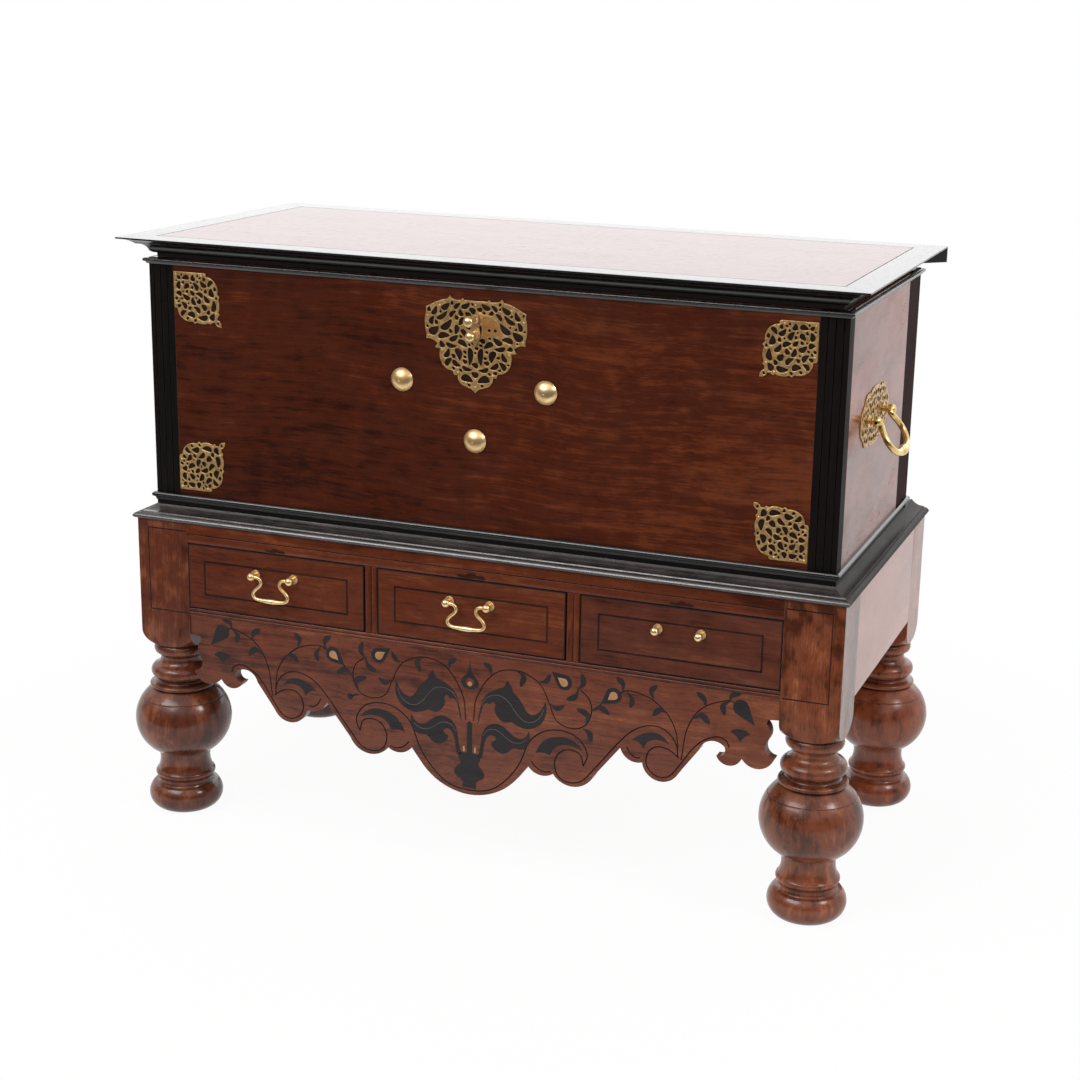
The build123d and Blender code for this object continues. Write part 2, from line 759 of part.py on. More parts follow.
def knob(x, base_y, z, shank, radius, stem):
    """A small turned knob on a shank, facing forwards."""
    ball_y = base_y - stem - radius * 0.8
    shape = rod((x, base_y, z), (x, ball_y, z), shank)
    shape += rod((x, base_y, z), (x, base_y - stem * 0.3, z), radius * 0.8)
    return shape + Pos(x, ball_y, z) * Sphere(radius)


knob_base = cover_front - cover_gap
stud = rod((lock_x, chest_face - plate_thickness, stud_z), (lock_x, knob_base, stud_z), stud_radius)
stud += knob(lock_x, knob_base, stud_z, stud_radius, cover_knob_radius, cover_knob_stem)
save("escutcheon", escutcheon)

cover_half = cover_width / 2
cover_plane = Plane(origin=(lock_x, cover_back, stud_z), x_dir=(1, 0, 0), z_dir=(0, -1, 0))
cover_face = mirrored_outline((0, cover_half * 0.9), [
    ((cover_half * 0.66, cover_half * 0.62), (cover_half * 0.9, 0)),
    (cover_half * 0.62, -cover_length * 0.2),
    ((cover_half, -cover_length * 0.55), (cover_half * 0.45, -cover_length * 0.86)),
    (0, -cover_length),
])
cover = extrude(cover_plane * (cover_face - Circle(stud_radius + running_gap)), amount=plate_thickness)
cover += knob(lock_x, cover_front, stud_z - cover_knob_drop, stud_radius, cover_knob_radius, cover_knob_stem)
save("keyhole_cover", cover)


# ---------------------------------------------------------------- bosses
def boss(x, z):
    """A domed stud with a thin flange."""
    flange = boss_height * 0.12
    radius = (boss_radius ** 2 + (boss_height - flange) ** 2) / (2 * (boss_height - flange))
    midway = 0.5 * math.asin(boss_radius / radius)
    shoulder = (radius * math.sin(midway), boss_height - radius + radius * math.cos(midway))
    dome = lathe((0, 0), [
        (boss_radius, 0),
        (boss_radius, flange),
        (shoulder, (0, boss_height)),
        (0, 0),
    ])
    return Pos(x, chest_face, z) * Rot(90, 0, 0) * dome


boss_z = chest_top - boss_drop
save("front_bosses", boss(boss_x - boss_spread, boss_z), boss(boss_x + boss_spread, boss_z),
     boss(lock_x, chest_top - boss_low_drop), stud)


# ---------------------------------------------------------------- side handles
def handle_plate_face():
    """A long lobed plate: a lobe at each end, two above and two below, with cusps between them."""
    kx, kz = handle_plate_width / 212.0, handle_plate_height / 96.0
    quarter = [
        ((22 * kx, 47 * kz), (40 * kx, 40 * kz)),
        (46 * kx, 43 * kz),
        ((70 * kx, 42 * kz), (80 * kx, 24 * kz)),
        (84 * kx, 24 * kz),
        ((98 * kx, 17 * kz), (106 * kx, 0)),
    ]
    start = (0, 48 * kz)
    edges = []
    for sx in (-1, 1):
        for sz in (-1, 1):
            steps = [((sx * s[0][0], sz * s[0][1]), (sx * s[1][0], sz * s[1][1])) if isinstance(s[0], tuple)
                     else (sx * s[0], sz * s[1]) for s in quarter]
            edges += arc_chain((start[0], sz * start[1]), steps)
    face = make_face(edges)
    post_clear = handle_flange_radius + cut_length * 0.55
    return pierced(face, lambda x, z: min(x, z) > 0 and math.dist((x, z), (post_y, 0)) > post_clear,
                   lambda *leaf: [in_x(*leaf), in_y(*leaf), in_x(*in_y(*leaf))])


handle_y = chest_face + handle_setback
handle_z = chest_base + handle_height
post_y = handle_post_spacing / 2


def pull_post(reach, head, neck, flange, flange_thickness, pin):
    """A post along +X: a flange, a neck, and a ball head bored along Y for the bail's pin."""
    shape = rod((0, 0, 0), (flange_thickness, 0, 0), flange)
    shape += rod((0, 0, 0), (reach, 0, 0), neck)
    shape += Pos(reach, 0, 0) * Sphere(head)
    return shape - rod((reach, -2 * head, 0), (reach, 2 * head, 0), pin + running_gap)


def bail(half_span, head, pin, bar, grip, waist, hip, drop, corners):
    """A bail in the YZ plane, hung on pins along Y, with a swelling grip in the middle of its lower bar."""
    inner = half_span - head - side_gap
    path = FilletPolyline((0, -inner, 0), (0, -waist, 0), (0, -hip, -drop), (0, hip, -drop), (0, waist, 0),
                          (0, inner, 0), radius=corners)
    start = Plane(origin=(0, -inner, 0), z_dir=(0, 1, 0))
    shape = sweep(start * Circle(bar), path=path)
    for sy in (-1, 1):
        shape += rod((0, sy * (inner - 1), 0), (0, sy * (half_span + head * 0.6), 0), pin)
    swell = hip * 0.42
    spindle = Plane.XY * outline_face((0, -swell), [((grip, 0), (0, swell)), (0, -swell)])
    return shape + Pos(0, 0, -drop) * revolve(spindle, Axis.Y)


plate_face_x = half_chest + plate_thickness
handle_plane = Plane(origin=(half_chest, handle_y, handle_z), x_dir=(0, 1, 0), z_dir=(1, 0, 0))
handle_plate = extrude(handle_plane * handle_plate_face(), amount=plate_thickness)
handle_posts = [Pos(plate_face_x, handle_y + sy * post_y, handle_z)
                * pull_post(handle_reach, handle_head_radius, handle_neck_radius, handle_flange_radius,
                            handle_flange_thickness, handle_pin_radius) for sy in (-1, 1)]
handle_bail = Pos(plate_face_x + handle_reach, handle_y, handle_z) * Rot(0, -handle_lift, 0) * bail(
    post_y, handle_head_radius, handle_pin_radius, handle_bar_radius, handle_grip_radius,
    handle_waist, handle_hip, handle_drop, handle_corners)
save("handle_posts", *handle_posts, *[mirrored_x(post) for post in handle_posts])
save("handle_plate_right", handle_plate)
save("handle_plate_left", mirrored_x(handle_plate))
save("side_bail_right", handle_bail)
save("side_bail_left", mirrored_x(handle_bail))


# ---------------------------------------------------------------- drawers
def drawer(centre):
    """A front, two sides and a back as one box of boards, and a bottom let in between them."""
    half_width = drawer_bay / 2 - drawer_gap
    low = opening_bottom + drawer_gap
    high = opening_top - drawer_gap
    run_low = opening_bottom + drawer_seat_gap
    box_front = stand_face + drawer_front_thickness
    box_back = stand_face + drawer_length
    run_high = run_low + drawer_side_height
    front = block((centre - half_width, stand_face, low), (centre + half_width, box_front, high))
    side = drawer_side_thickness
    left = block((centre - half_width, box_front, run_low), (centre - half_width + side, box_back, run_high))
    right = block((centre + half_width - side, box_front, run_low),
                  (centre + half_width, box_back, run_high))
    back = block((centre - half_width + side, box_back - side, run_low + drawer_bottom_lift),
                 (centre + half_width - side, box_back, run_high))
    bottom_low = run_low + drawer_bottom_lift
    bottom = block((centre - half_width + side, box_front, bottom_low),
                   (centre + half_width - side, box_back - side, bottom_low + drawer_bottom_thickness))
    return front, (left, right, back), bottom


def drawer_posts(centre):
    return [Pos(centre + sx * pull_spacing / 2, stand_face, pull_z) * Rot(0, 0, -90)
            * pull_post(pull_reach, pull_head_radius, pull_neck_radius, pull_flange_radius,
                        pull_flange_thickness, pull_pin_radius) for sx in (-1, 1)]


drawer_bail = bail(pull_spacing / 2, pull_head_radius, pull_pin_radius, pull_wire_radius, pull_grip_radius,
                   pull_waist, pull_hip, pull_drop, pull_corners)
for name, centre in drawer_centres.items():
    front, walls, bottom = drawer(centre)
    save(f"drawer_{name}_front", front)
    save(f"drawer_{name}_box", *walls)
    save(f"drawer_{name}_bottom", bottom)
    save(f"drawer_{name}_pull_posts", *drawer_posts(centre))
    if name != "right":
        hung = Pos(centre, stand_face - pull_reach, pull_z) * Rot(0, 0, -90) * drawer_bail
        save(f"drawer_{name}_bail", hung)
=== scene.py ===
import math

import bmesh
import bpy
from mathutils import Matrix, Vector, kdtree


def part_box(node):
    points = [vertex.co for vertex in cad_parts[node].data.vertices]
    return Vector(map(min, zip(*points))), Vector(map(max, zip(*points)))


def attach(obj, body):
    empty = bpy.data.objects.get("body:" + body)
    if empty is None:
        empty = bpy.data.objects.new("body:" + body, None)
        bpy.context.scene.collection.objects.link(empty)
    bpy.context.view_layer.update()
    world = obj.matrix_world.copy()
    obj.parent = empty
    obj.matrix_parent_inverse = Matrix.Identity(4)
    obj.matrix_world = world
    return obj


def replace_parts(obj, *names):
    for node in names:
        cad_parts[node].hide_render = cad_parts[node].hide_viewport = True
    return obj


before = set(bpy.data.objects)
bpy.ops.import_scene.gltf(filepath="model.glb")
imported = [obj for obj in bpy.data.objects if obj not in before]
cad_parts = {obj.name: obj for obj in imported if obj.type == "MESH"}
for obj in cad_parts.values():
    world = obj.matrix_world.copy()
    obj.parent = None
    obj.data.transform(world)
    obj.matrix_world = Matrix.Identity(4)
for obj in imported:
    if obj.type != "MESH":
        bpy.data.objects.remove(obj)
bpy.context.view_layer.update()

# Dowry chest on a stand: finishes, inlay and fine brasswork round the joined boards.
MM = 0.001


# ---------------------------------------------------------------- camera, light and floor
def aimed_camera(place, azimuth, elevation, roll, lens, shift):
    """A camera that looks along its azimuth and elevation, turned by its roll."""
    a, e, r = math.radians(azimuth), math.radians(elevation), math.radians(roll)
    back = Vector((math.sin(a) * math.cos(e), -math.cos(a) * math.cos(e), math.sin(e)))
    level = (-back).cross(Vector((0, 0, 1))).normalized()
    rise = level.cross(-back)
    right = level * math.cos(r) + rise * math.sin(r)
    up = rise * math.cos(r) - level * math.sin(r)
    data = bpy.data.cameras.new("camera")
    data.lens = lens
    data.sensor_width = 36.0
    data.shift_x = shift
    data.clip_end = 50.0
    camera = bpy.data.objects.new("camera", data)
    bpy.context.scene.collection.objects.link(camera)
    camera.matrix_world = Matrix.Translation(place) @ Matrix((right, up, back)).transposed().to_4x4()
    bpy.context.scene.camera = camera


def softbox(name, place, target, width, height, strength):
    """A flat lamp that faces its target."""
    data = bpy.data.lights.new(name, "AREA")
    data.shape = "RECTANGLE"
    data.size = width
    data.size_y = height
    data.energy = strength * width * height
    lamp = bpy.data.objects.new(name, data)
    bpy.context.scene.collection.objects.link(lamp)
    lamp.location = place
    lamp.rotation_euler = (Vector(target) - Vector(place)).to_track_quat("-Z", "Y").to_euler()


def add(tree, kind, inputs=None, **settings):
    """A node with its settings, and each input either linked or set to a value."""
    made = tree.nodes.new(kind)
    for key, value in settings.items():
        setattr(made, key, value)
    for key, value in (inputs or {}).items():
        if isinstance(value, bpy.types.NodeSocket):
            tree.links.new(value, made.inputs[key])
        else:
            made.inputs[key].default_value = value
    return made


def math_node(tree, operation, *values):
    """The result of one sum on sockets or values."""
    return add(tree, "ShaderNodeMath", dict(enumerate(values)), operation=operation).outputs[0]


def ramp(tree, value, low, high, out_low=0.0, out_high=1.0):
    """A value eased from one range to another."""
    return add(tree, "ShaderNodeMapRange", {"Value": value, "From Min": low, "From Max": high,
                                            "To Min": out_low, "To Max": out_high},
               interpolation_type="SMOOTHSTEP").outputs["Result"]


def studio():
    """White surroundings, dim in front of the chest, three softboxes, and a pale floor that keeps the shadow."""
    world = bpy.data.worlds.new("studio")
    bpy.context.scene.world = world
    world.use_nodes = True
    tree = world.node_tree
    tree.nodes.clear()
    rays = add(tree, "ShaderNodeLightPath")
    mirrored = math_node(tree, "MAXIMUM", rays.outputs["Is Glossy Ray"], rays.outputs["Is Transmission Ray"])
    toward = add(tree, "ShaderNodeSeparateXYZ", {0: add(tree, "ShaderNodeTexCoord").outputs["Generated"]})
    behind = ramp(tree, toward.outputs["Y"], -0.3, 0.3, 0.03, 1.0)
    above = ramp(tree, toward.outputs["Z"], 0.26, 0.56)
    bright = math_node(tree, "MAXIMUM", behind, above)
    fill = add(tree, "ShaderNodeBackground", {"Color": (1.0, 0.98, 0.965, 1.0), "Strength": 0.70})
    room = add(tree, "ShaderNodeBackground", {"Color": (1.0, 1.0, 1.0, 1.0), "Strength": bright})
    white = add(tree, "ShaderNodeBackground", {"Color": (1.0, 1.0, 1.0, 1.0), "Strength": 1.0})
    mixed = add(tree, "ShaderNodeMixShader", {"Fac": mirrored, 1: fill.outputs[0], 2: room.outputs[0]})
    mixed = add(tree, "ShaderNodeMixShader", {"Fac": rays.outputs["Is Camera Ray"], 1: mixed.outputs[0],
                                              2: white.outputs[0]})
    add(tree, "ShaderNodeOutputWorld", {"Surface": mixed.outputs[0]})

    softbox("back_panel", (-0.6, 4.4, 2.0), (0.0, 0.0, 0.9), 7.0, 2.4, 3.15)
    softbox("left_panel", (-1.5, -3.0, 3.4), (0.0, 0.0, 0.5), 2.8, 1.5, 22.5)
    softbox("right_panel", (3.3, -0.9, 2.9), (0.3, -0.2, 0.4), 0.9, 0.9, 52.0)

    paint = bpy.data.materials.new("floor_paint")
    paint.use_nodes = True
    tree = paint.node_tree
    tree.nodes.clear()
    rays = add(tree, "ShaderNodeLightPath")
    place = add(tree, "ShaderNodeVectorMath", {0: add(tree, "ShaderNodeTexCoord").outputs["Object"]},
                operation="LENGTH")
    far = ramp(tree, place.outputs["Value"], 0.95, 1.5, 0.94, 1.0)
    seen = math_node(tree, "MAXIMUM", rays.outputs["Is Camera Ray"], rays.outputs["Is Glossy Ray"])
    share = math_node(tree, "MULTIPLY", seen, far)
    pale = add(tree, "ShaderNodeBsdfDiffuse", {"Color": (0.86, 0.86, 0.86, 1.0)})
    glow = add(tree, "ShaderNodeEmission", {"Color": (1.0, 1.0, 1.0, 1.0), "Strength": 1.0})
    mixed = add(tree, "ShaderNodeMixShader", {"Fac": share, 1: pale.outputs[0], 2: glow.outputs[0]})
    add(tree, "ShaderNodeOutputMaterial", {"Surface": mixed.outputs[0]})
    mesh = bpy.data.meshes.new("floor")
    side, front, rear = 7.0, -1.1, 8.0
    mesh.from_pydata([(-side, front, 0), (side, front, 0), (side, rear, 0), (-side, rear, 0)], [], [(0, 1, 2, 3)])
    mesh.materials.append(paint)
    floor = bpy.data.objects.new("floor", mesh)
    bpy.context.scene.collection.objects.link(floor)
    bpy.context.scene.view_settings.view_transform = "Standard"


aimed_camera(place=(1.24404, -3.18222, 1.45757), azimuth=19.667, elevation=15.693, roll=1.37, lens=66.746,
             shift=-0.0521)
studio()


# ---------------------------------------------------------------- finishes
def mixed_color(tree, factor, first, second, kind="MIX"):
    """The colour between two others, each a socket or a colour."""
    made = tree.nodes.new("ShaderNodeMix")
    made.data_type = "RGBA"
    made.blend_type = kind
    for index, value in ((0, factor), (6, first), (7, second)):
        if isinstance(value, bpy.types.NodeSocket):
            tree.links.new(value, made.inputs[index])
        else:
            made.inputs[index].default_value = value
    return made.outputs[2]


def group_with(name, vectors, colors, floats):
    """A node group with its inputs, and the outputs that every finish here has."""
    group = bpy.data.node_groups.new(name, "ShaderNodeTree")
    face = group.interface
    for kind, names in (("NodeSocketVector", vectors), ("NodeSocketColor", colors), ("NodeSocketFloat", floats)):
        for socket in names:
            face.new_socket(socket, in_out="INPUT", socket_type=kind)
    face.new_socket("Color", in_out="OUTPUT", socket_type="NodeSocketColor")
    face.new_socket("Roughness", in_out="OUTPUT", socket_type="NodeSocketFloat")
    face.new_socket("Normal", in_out="OUTPUT", socket_type="NodeSocketVector")
    return group, add(group, "NodeGroupInput").outputs


def softened_edge(tree, radius):
    """A normal that rounds sharp edges, and how far it turns from the face: the edge itself."""
    soft = add(tree, "ShaderNodeBevel", {"Radius": radius}, samples=4).outputs[0]
    true = add(tree, "ShaderNodeNewGeometry").outputs["Normal"]
    facing = add(tree, "ShaderNodeVectorMath", {0: soft, 1: true}, operation="DOT_PRODUCT").outputs["Value"]
    return soft, ramp(tree, facing, 0.985, 0.80)


def timber_group():
    """Old polished timber, its grain along X: figure, streaks, fibres, pores, rubbed edges, and painted shade in its
    hollows.
    """
    group, given = group_with("aged_timber", ["Vector"], ["Dark", "Middle", "Light", "Rubbed", "Joint And Gap Shade Tone"],
                              ["Seed", "Figure", "Mottle", "Streaks", "Lean", "Edge Wear", "Polish", "Smear",
                               "Relief", "Joint And Gap Shade"])
    shift = add(group, "ShaderNodeCombineXYZ", {0: given["Seed"], 1: given["Seed"], 2: 0.0})
    moved = add(group, "ShaderNodeVectorMath", {0: given["Vector"], 1: shift.outputs[0]}, operation="ADD").outputs[0]
    drift = add(group, "ShaderNodeTexNoise", {"Vector": moved, "Scale": 2.3, "Detail": 2.0})
    drift = add(group, "ShaderNodeVectorMath", {0: drift.outputs["Color"], 1: (0.5, 0.5, 0.5)}, operation="SUBTRACT")
    drift = add(group, "ShaderNodeVectorMath", {0: drift.outputs[0], 1: (0.0, 0.06, 0.06)}, operation="MULTIPLY")
    waved = add(group, "ShaderNodeVectorMath", {0: moved, 1: drift.outputs[0]}, operation="ADD").outputs[0]

    def noise(scale, detail, rough, stretch):
        mapped = add(group, "ShaderNodeMapping", {"Vector": waved, "Scale": (1.0 / stretch, 1.0, 1.0)})
        return add(group, "ShaderNodeTexNoise", {"Vector": mapped.outputs[0], "Scale": scale, "Detail": detail,
                                                 "Roughness": rough}).outputs["Fac"]

    def swing(value, strength, gain):
        centred = math_node(group, "MULTIPLY_ADD", value, gain, -0.5 * gain)
        return math_node(group, "MULTIPLY", centred, strength)

    streak = noise(105.0, 4.0, 0.6, 16.0)
    parts = [swing(noise(3.6, 2.0, 0.5, 1.8), given["Figure"], 1.4),
             swing(noise(11.0, 3.0, 0.55, 5.0), given["Figure"], 2.6),
             swing(noise(44.0, 2.0, 0.5, 1.4), given["Mottle"], 2.2),
             swing(streak, given["Streaks"], 2.6), swing(noise(400.0, 2.0, 0.55, 30.0), given["Streaks"], 1.8)]
    along = add(group, "ShaderNodeSeparateXYZ", {0: given["Vector"]}).outputs["X"]
    level = math_node(group, "MULTIPLY_ADD", along, given["Lean"], 0.5)
    for part in parts:
        level = math_node(group, "ADD", level, part)
    tone = mixed_color(group, ramp(group, level, 0.0, 0.5), given["Dark"], given["Middle"])
    tone = mixed_color(group, ramp(group, level, 0.5, 1.0), tone, given["Light"])
    deep = mixed_color(group, 0.6, given["Dark"], (0.004, 0.002, 0.002, 1.0))
    pore = ramp(group, noise(820.0, 1.0, 0.5, 13.0), 0.60, 0.70)
    tone = mixed_color(group, math_node(group, "MULTIPLY", pore, 0.5), tone, deep)
    soft, edge = softened_edge(group, 0.0014)
    uneven = ramp(group, noise(34.0, 3.0, 0.6, 2.5), 0.36, 0.62, 0.1, 1.0)
    rubbed = math_node(group, "MULTIPLY", math_node(group, "MULTIPLY", edge, uneven), given["Edge Wear"])
    tone = mixed_color(group, rubbed, tone, given["Rubbed"])
    # Darker in hollows and creases, found by ambient occlusion: painted shade.
    hollow = add(group, "ShaderNodeAmbientOcclusion", {"Distance": 0.012}, samples=4)
    tone = mixed_color(group, ramp(group, hollow.outputs["AO"], 0.25, 0.9, 0.85, 0.0), tone, deep)
    # A dark line along a rim: a dark joint round the lid panel, and painted shade of the gap round each drawer front.
    tone = mixed_color(group, given["Joint And Gap Shade"], tone, given["Joint And Gap Shade Tone"])
    smear = swing(noise(15.0, 4.0, 0.65, 2.2), given["Smear"], 1.6)
    rough = math_node(group, "ADD", math_node(group, "ADD", smear, given["Polish"]),
                      math_node(group, "MULTIPLY", pore, 0.08))
    rough = math_node(group, "MULTIPLY_ADD", given["Joint And Gap Shade"], 0.6, rough)
    height = math_node(group, "MULTIPLY_ADD", streak, 0.25, math_node(group, "MULTIPLY_ADD", pore, -0.6, 0.6))
    relief = add(group, "ShaderNodeBump", {"Height": height, "Strength": 0.6, "Distance": given["Relief"],
                                           "Normal": soft})
    add(group, "NodeGroupOutput", {"Color": tone, "Roughness": rough, "Normal": relief.outputs[0]})
    return group


def metal_group():
    """Old metal: mottled tarnish, bright rubbed edges, hollows darkened by patina and painted shade, and a little
    uneven.
    """
    group, given = group_with("aged_metal", ["Vector"], ["Bright", "Dull", "Deep"],
                              ["Mottle", "Edge Wear", "Patina And Shade", "Polish", "Relief", "Rounding"])
    broad = add(group, "ShaderNodeTexNoise", {"Vector": given["Vector"], "Scale": given["Mottle"], "Detail": 5.0,
                                              "Roughness": 0.62}).outputs["Fac"]
    fine = add(group, "ShaderNodeTexNoise", {"Vector": given["Vector"], "Scale": 520.0, "Detail": 2.0}).outputs["Fac"]
    soft, edge = softened_edge(group, given["Rounding"])
    tone = mixed_color(group, ramp(group, broad, 0.36, 0.66), given["Bright"], given["Dull"])
    tone = mixed_color(group, math_node(group, "MULTIPLY", edge, given["Edge Wear"]), tone, given["Bright"])
    # Darker in hollows, found by ambient occlusion: patina, and painted shade.
    hollow = add(group, "ShaderNodeAmbientOcclusion", {"Distance": 0.005}, samples=4)
    dark = math_node(group, "MULTIPLY", ramp(group, hollow.outputs["AO"], 0.2, 0.92, 1.0, 0.0), given["Patina And Shade"])
    tone = mixed_color(group, dark, tone, given["Deep"])
    rough = math_node(group, "ADD", ramp(group, broad, 0.3, 0.7, -0.05, 0.12), given["Polish"])
    height = math_node(group, "MULTIPLY_ADD", fine, 0.35, broad)
    relief = add(group, "ShaderNodeBump", {"Height": height, "Strength": 0.45, "Distance": given["Relief"],
                                           "Normal": soft})
    add(group, "NodeGroupOutput", {"Color": tone, "Roughness": rough, "Normal": relief.outputs[0]})
    return group


TIMBER = timber_group()
METAL = metal_group()
TURN = {"X": (0.0, 0.0, 0.0), "Y": (0.0, 0.0, math.radians(90)), "Z": (0.0, math.radians(90), 0.0)}


def finished(name, group, values, turn, metallic, specular, joint=None):
    """A finish: one node group with its values, and the shader's own settings. A joint is a dark line along a rim: a
    dark joint round the lid panel, and painted shade of the gap round each drawer front.
    """
    material = bpy.data.materials.new(name)
    material.use_nodes = True
    tree = material.node_tree
    tree.nodes.clear()
    place = add(tree, "ShaderNodeTexCoord").outputs["Object"]
    turned = add(tree, "ShaderNodeMapping", {"Vector": place, "Rotation": turn})
    look = add(tree, "ShaderNodeGroup", node_tree=group)
    tree.links.new(turned.outputs[0], look.inputs["Vector"])
    for key, value in values.items():
        look.inputs[key].default_value = (*value, 1.0) if isinstance(value, tuple) else value
    if joint:
        (low, high), axes, width, tone = joint
        along, rims = add(tree, "ShaderNodeSeparateXYZ", {0: place}).outputs, []
        for axis in axes:
            off = math_node(tree, "ABSOLUTE", math_node(tree, "SUBTRACT", along[axis], (low[axis] + high[axis]) / 2))
            edge = (high[axis] - low[axis]) / 2 - width
            rims.append(ramp(tree, off, edge, edge + width * 0.5))
        tree.links.new(math_node(tree, "MAXIMUM", *rims), look.inputs["Joint And Gap Shade"])
        look.inputs["Joint And Gap Shade Tone"].default_value = (*tone, 1.0)
    shader = add(tree, "ShaderNodeBsdfPrincipled", {
        "Base Color": look.outputs["Color"], "Roughness": look.outputs["Roughness"],
        "Normal": look.outputs["Normal"], "Metallic": metallic, "Specular IOR Level": specular})
    add(tree, "ShaderNodeOutputMaterial", {"Surface": shader.outputs[0]})
    return material


def timber(name, along, tones, seed, polish, figure=0.30, mottle=0.15, streaks=0.28, lean=0.0, wear=0.5,
           smear=0.10, relief=0.0001, specular=0.5, joint=None):
    """Polished timber whose grain runs along one axis."""
    dark, middle, light, rubbed = tones
    return finished(name, TIMBER, {
        "Dark": dark, "Middle": middle, "Light": light, "Rubbed": rubbed, "Seed": seed * 7.31, "Figure": figure,
        "Mottle": mottle, "Streaks": streaks, "Lean": lean, "Edge Wear": wear, "Polish": polish, "Smear": smear,
        "Relief": relief}, TURN[along], 0.0, specular, joint)


def metal(name, bright, dull, deep, polish, mottle=60.0, wear=0.6, patina_and_shade=0.8, relief=0.00015, metallic=1.0,
          rounding=0.0007):
    """Cast, sawn or forged metal."""
    return finished(name, METAL, {
        "Bright": bright, "Dull": dull, "Deep": deep, "Mottle": mottle, "Edge Wear": wear, "Patina And Shade": patina_and_shade,
        "Polish": polish, "Relief": relief, "Rounding": rounding}, TURN["X"], metallic, 0.5)


# Each timber's dark, middle, light and rubbed tones.
POST = ((0.045, 0.0085, 0.0030), (0.098, 0.0195, 0.0060), (0.165, 0.043, 0.0135), (0.230, 0.095, 0.045))
LEG = ((0.058, 0.014, 0.0055), (0.168, 0.047, 0.020), (0.325, 0.112, 0.052), (0.310, 0.160, 0.095))
DARK_LEG = ((0.036, 0.0085, 0.0045), (0.094, 0.0235, 0.0110), (0.190, 0.060, 0.027), (0.230, 0.112, 0.068))
# Tones for the back right leg, lighter than the front one's: painted light against the shade it stands in.
BACK_LEG_PAINTED_LIGHT = ((0.078, 0.018, 0.008), (0.215, 0.054, 0.022), (0.350, 0.108, 0.048), (0.330, 0.160, 0.095))
APRON = ((0.050, 0.013, 0.008), (0.132, 0.034, 0.0155), (0.225, 0.070, 0.029), (0.250, 0.105, 0.055))
CHEST = ((0.025, 0.0060, 0.003), (0.060, 0.0115, 0.0042), (0.118, 0.027, 0.0085), (0.140, 0.045, 0.022))
# The chest's and the stand's side boards, far lighter copies of their front timbers: painted light on the side faces.
SIDE_PAINTED_LIGHT = ((0.110, 0.017, 0.005), (0.195, 0.032, 0.009), (0.285, 0.062, 0.020), (0.270, 0.090, 0.040))
STAND_SIDE_PAINTED_LIGHT = ((0.180, 0.050, 0.028), (0.270, 0.080, 0.048), (0.350, 0.120, 0.076), (0.330, 0.130, 0.080))
LID = ((0.085, 0.016, 0.011), (0.130, 0.027, 0.019), (0.180, 0.044, 0.032), (0.190, 0.055, 0.040))
DRAWER = ((0.045, 0.009, 0.004), (0.098, 0.0205, 0.0072), (0.165, 0.043, 0.0155), (0.200, 0.078, 0.036))
DARKER_DRAWER = ((0.038, 0.009, 0.005), (0.088, 0.021, 0.010), (0.145, 0.041, 0.019), (0.180, 0.072, 0.038))
EBONY = ((0.0035, 0.003, 0.003), (0.007, 0.0055, 0.005), (0.013, 0.010, 0.009), (0.050, 0.040, 0.034))
# Ebony of the front moulding, lighter than the rest, with light rubbed edges: wear, and painted reflection.
WORN_EBONY_PAINTED_REFLECTION = ((0.010, 0.008, 0.007), (0.034, 0.026, 0.024), (0.075, 0.060, 0.055), (0.200, 0.170, 0.160))
BROWN_EBONY = ((0.008, 0.006, 0.005), (0.016, 0.012, 0.010), (0.028, 0.022, 0.019), (0.080, 0.065, 0.056))
RED_EBONY = ((0.010, 0.003, 0.0025), (0.021, 0.007, 0.006), (0.034, 0.012, 0.010), (0.050, 0.024, 0.019))
INNER = ((0.140, 0.065, 0.030), (0.300, 0.160, 0.080), (0.400, 0.235, 0.125), (0.420, 0.260, 0.150))

INLAY_BLACK = timber("slate_black_inlay", "X", ((0.010, 0.008, 0.009), (0.023, 0.019, 0.021), (0.036, 0.031, 0.033),
                                                (0.045, 0.038, 0.038)), 3.0, 0.42, wear=0.2, specular=0.2)
INLAY_PALE = timber("boxwood_inlay", "X", ((0.20, 0.085, 0.035), (0.37, 0.18, 0.075), (0.52, 0.28, 0.13),
                                           (0.62, 0.40, 0.22)), 5.0, 0.40, wear=0.2)
INLAY_LINE = timber("dark_string_inlay", "X", ((0.006, 0.003, 0.003), (0.015, 0.006, 0.005), (0.036, 0.012, 0.008),
                                               (0.080, 0.030, 0.018)), 7.0, 0.42, mottle=0.4, wear=0.0, specular=0.1)
INLAY_GREY = timber("grey_string_inlay", "X", ((0.045, 0.035, 0.036), (0.085, 0.068, 0.068), (0.120, 0.098, 0.096),
                                               (0.130, 0.110, 0.105)), 9.0, 0.45, mottle=0.4, wear=0.0)
SAWN_BRASS = metal("sawn_brass", (0.69, 0.435, 0.175), (0.335, 0.192, 0.070), (0.016, 0.008, 0.005), 0.34, mottle=150.0,
                   wear=0.9, patina_and_shade=1.0, relief=0.0005, metallic=0.62, rounding=0.0021)
PLAIN_BRASS = metal("worn_brass_patch", (0.56, 0.28, 0.085), (0.36, 0.165, 0.045), (0.04, 0.02, 0.01), 0.40,
                    mottle=60.0, wear=0.6, patina_and_shade=0.8, relief=0.0003, metallic=0.6)
CAST_BRASS = metal("rubbed_brass", (0.97, 0.71, 0.37), (0.82, 0.52, 0.235), (0.12, 0.06, 0.02), 0.30, mottle=38.0,
                   wear=0.5, patina_and_shade=0.5, relief=0.00008, metallic=0.86)
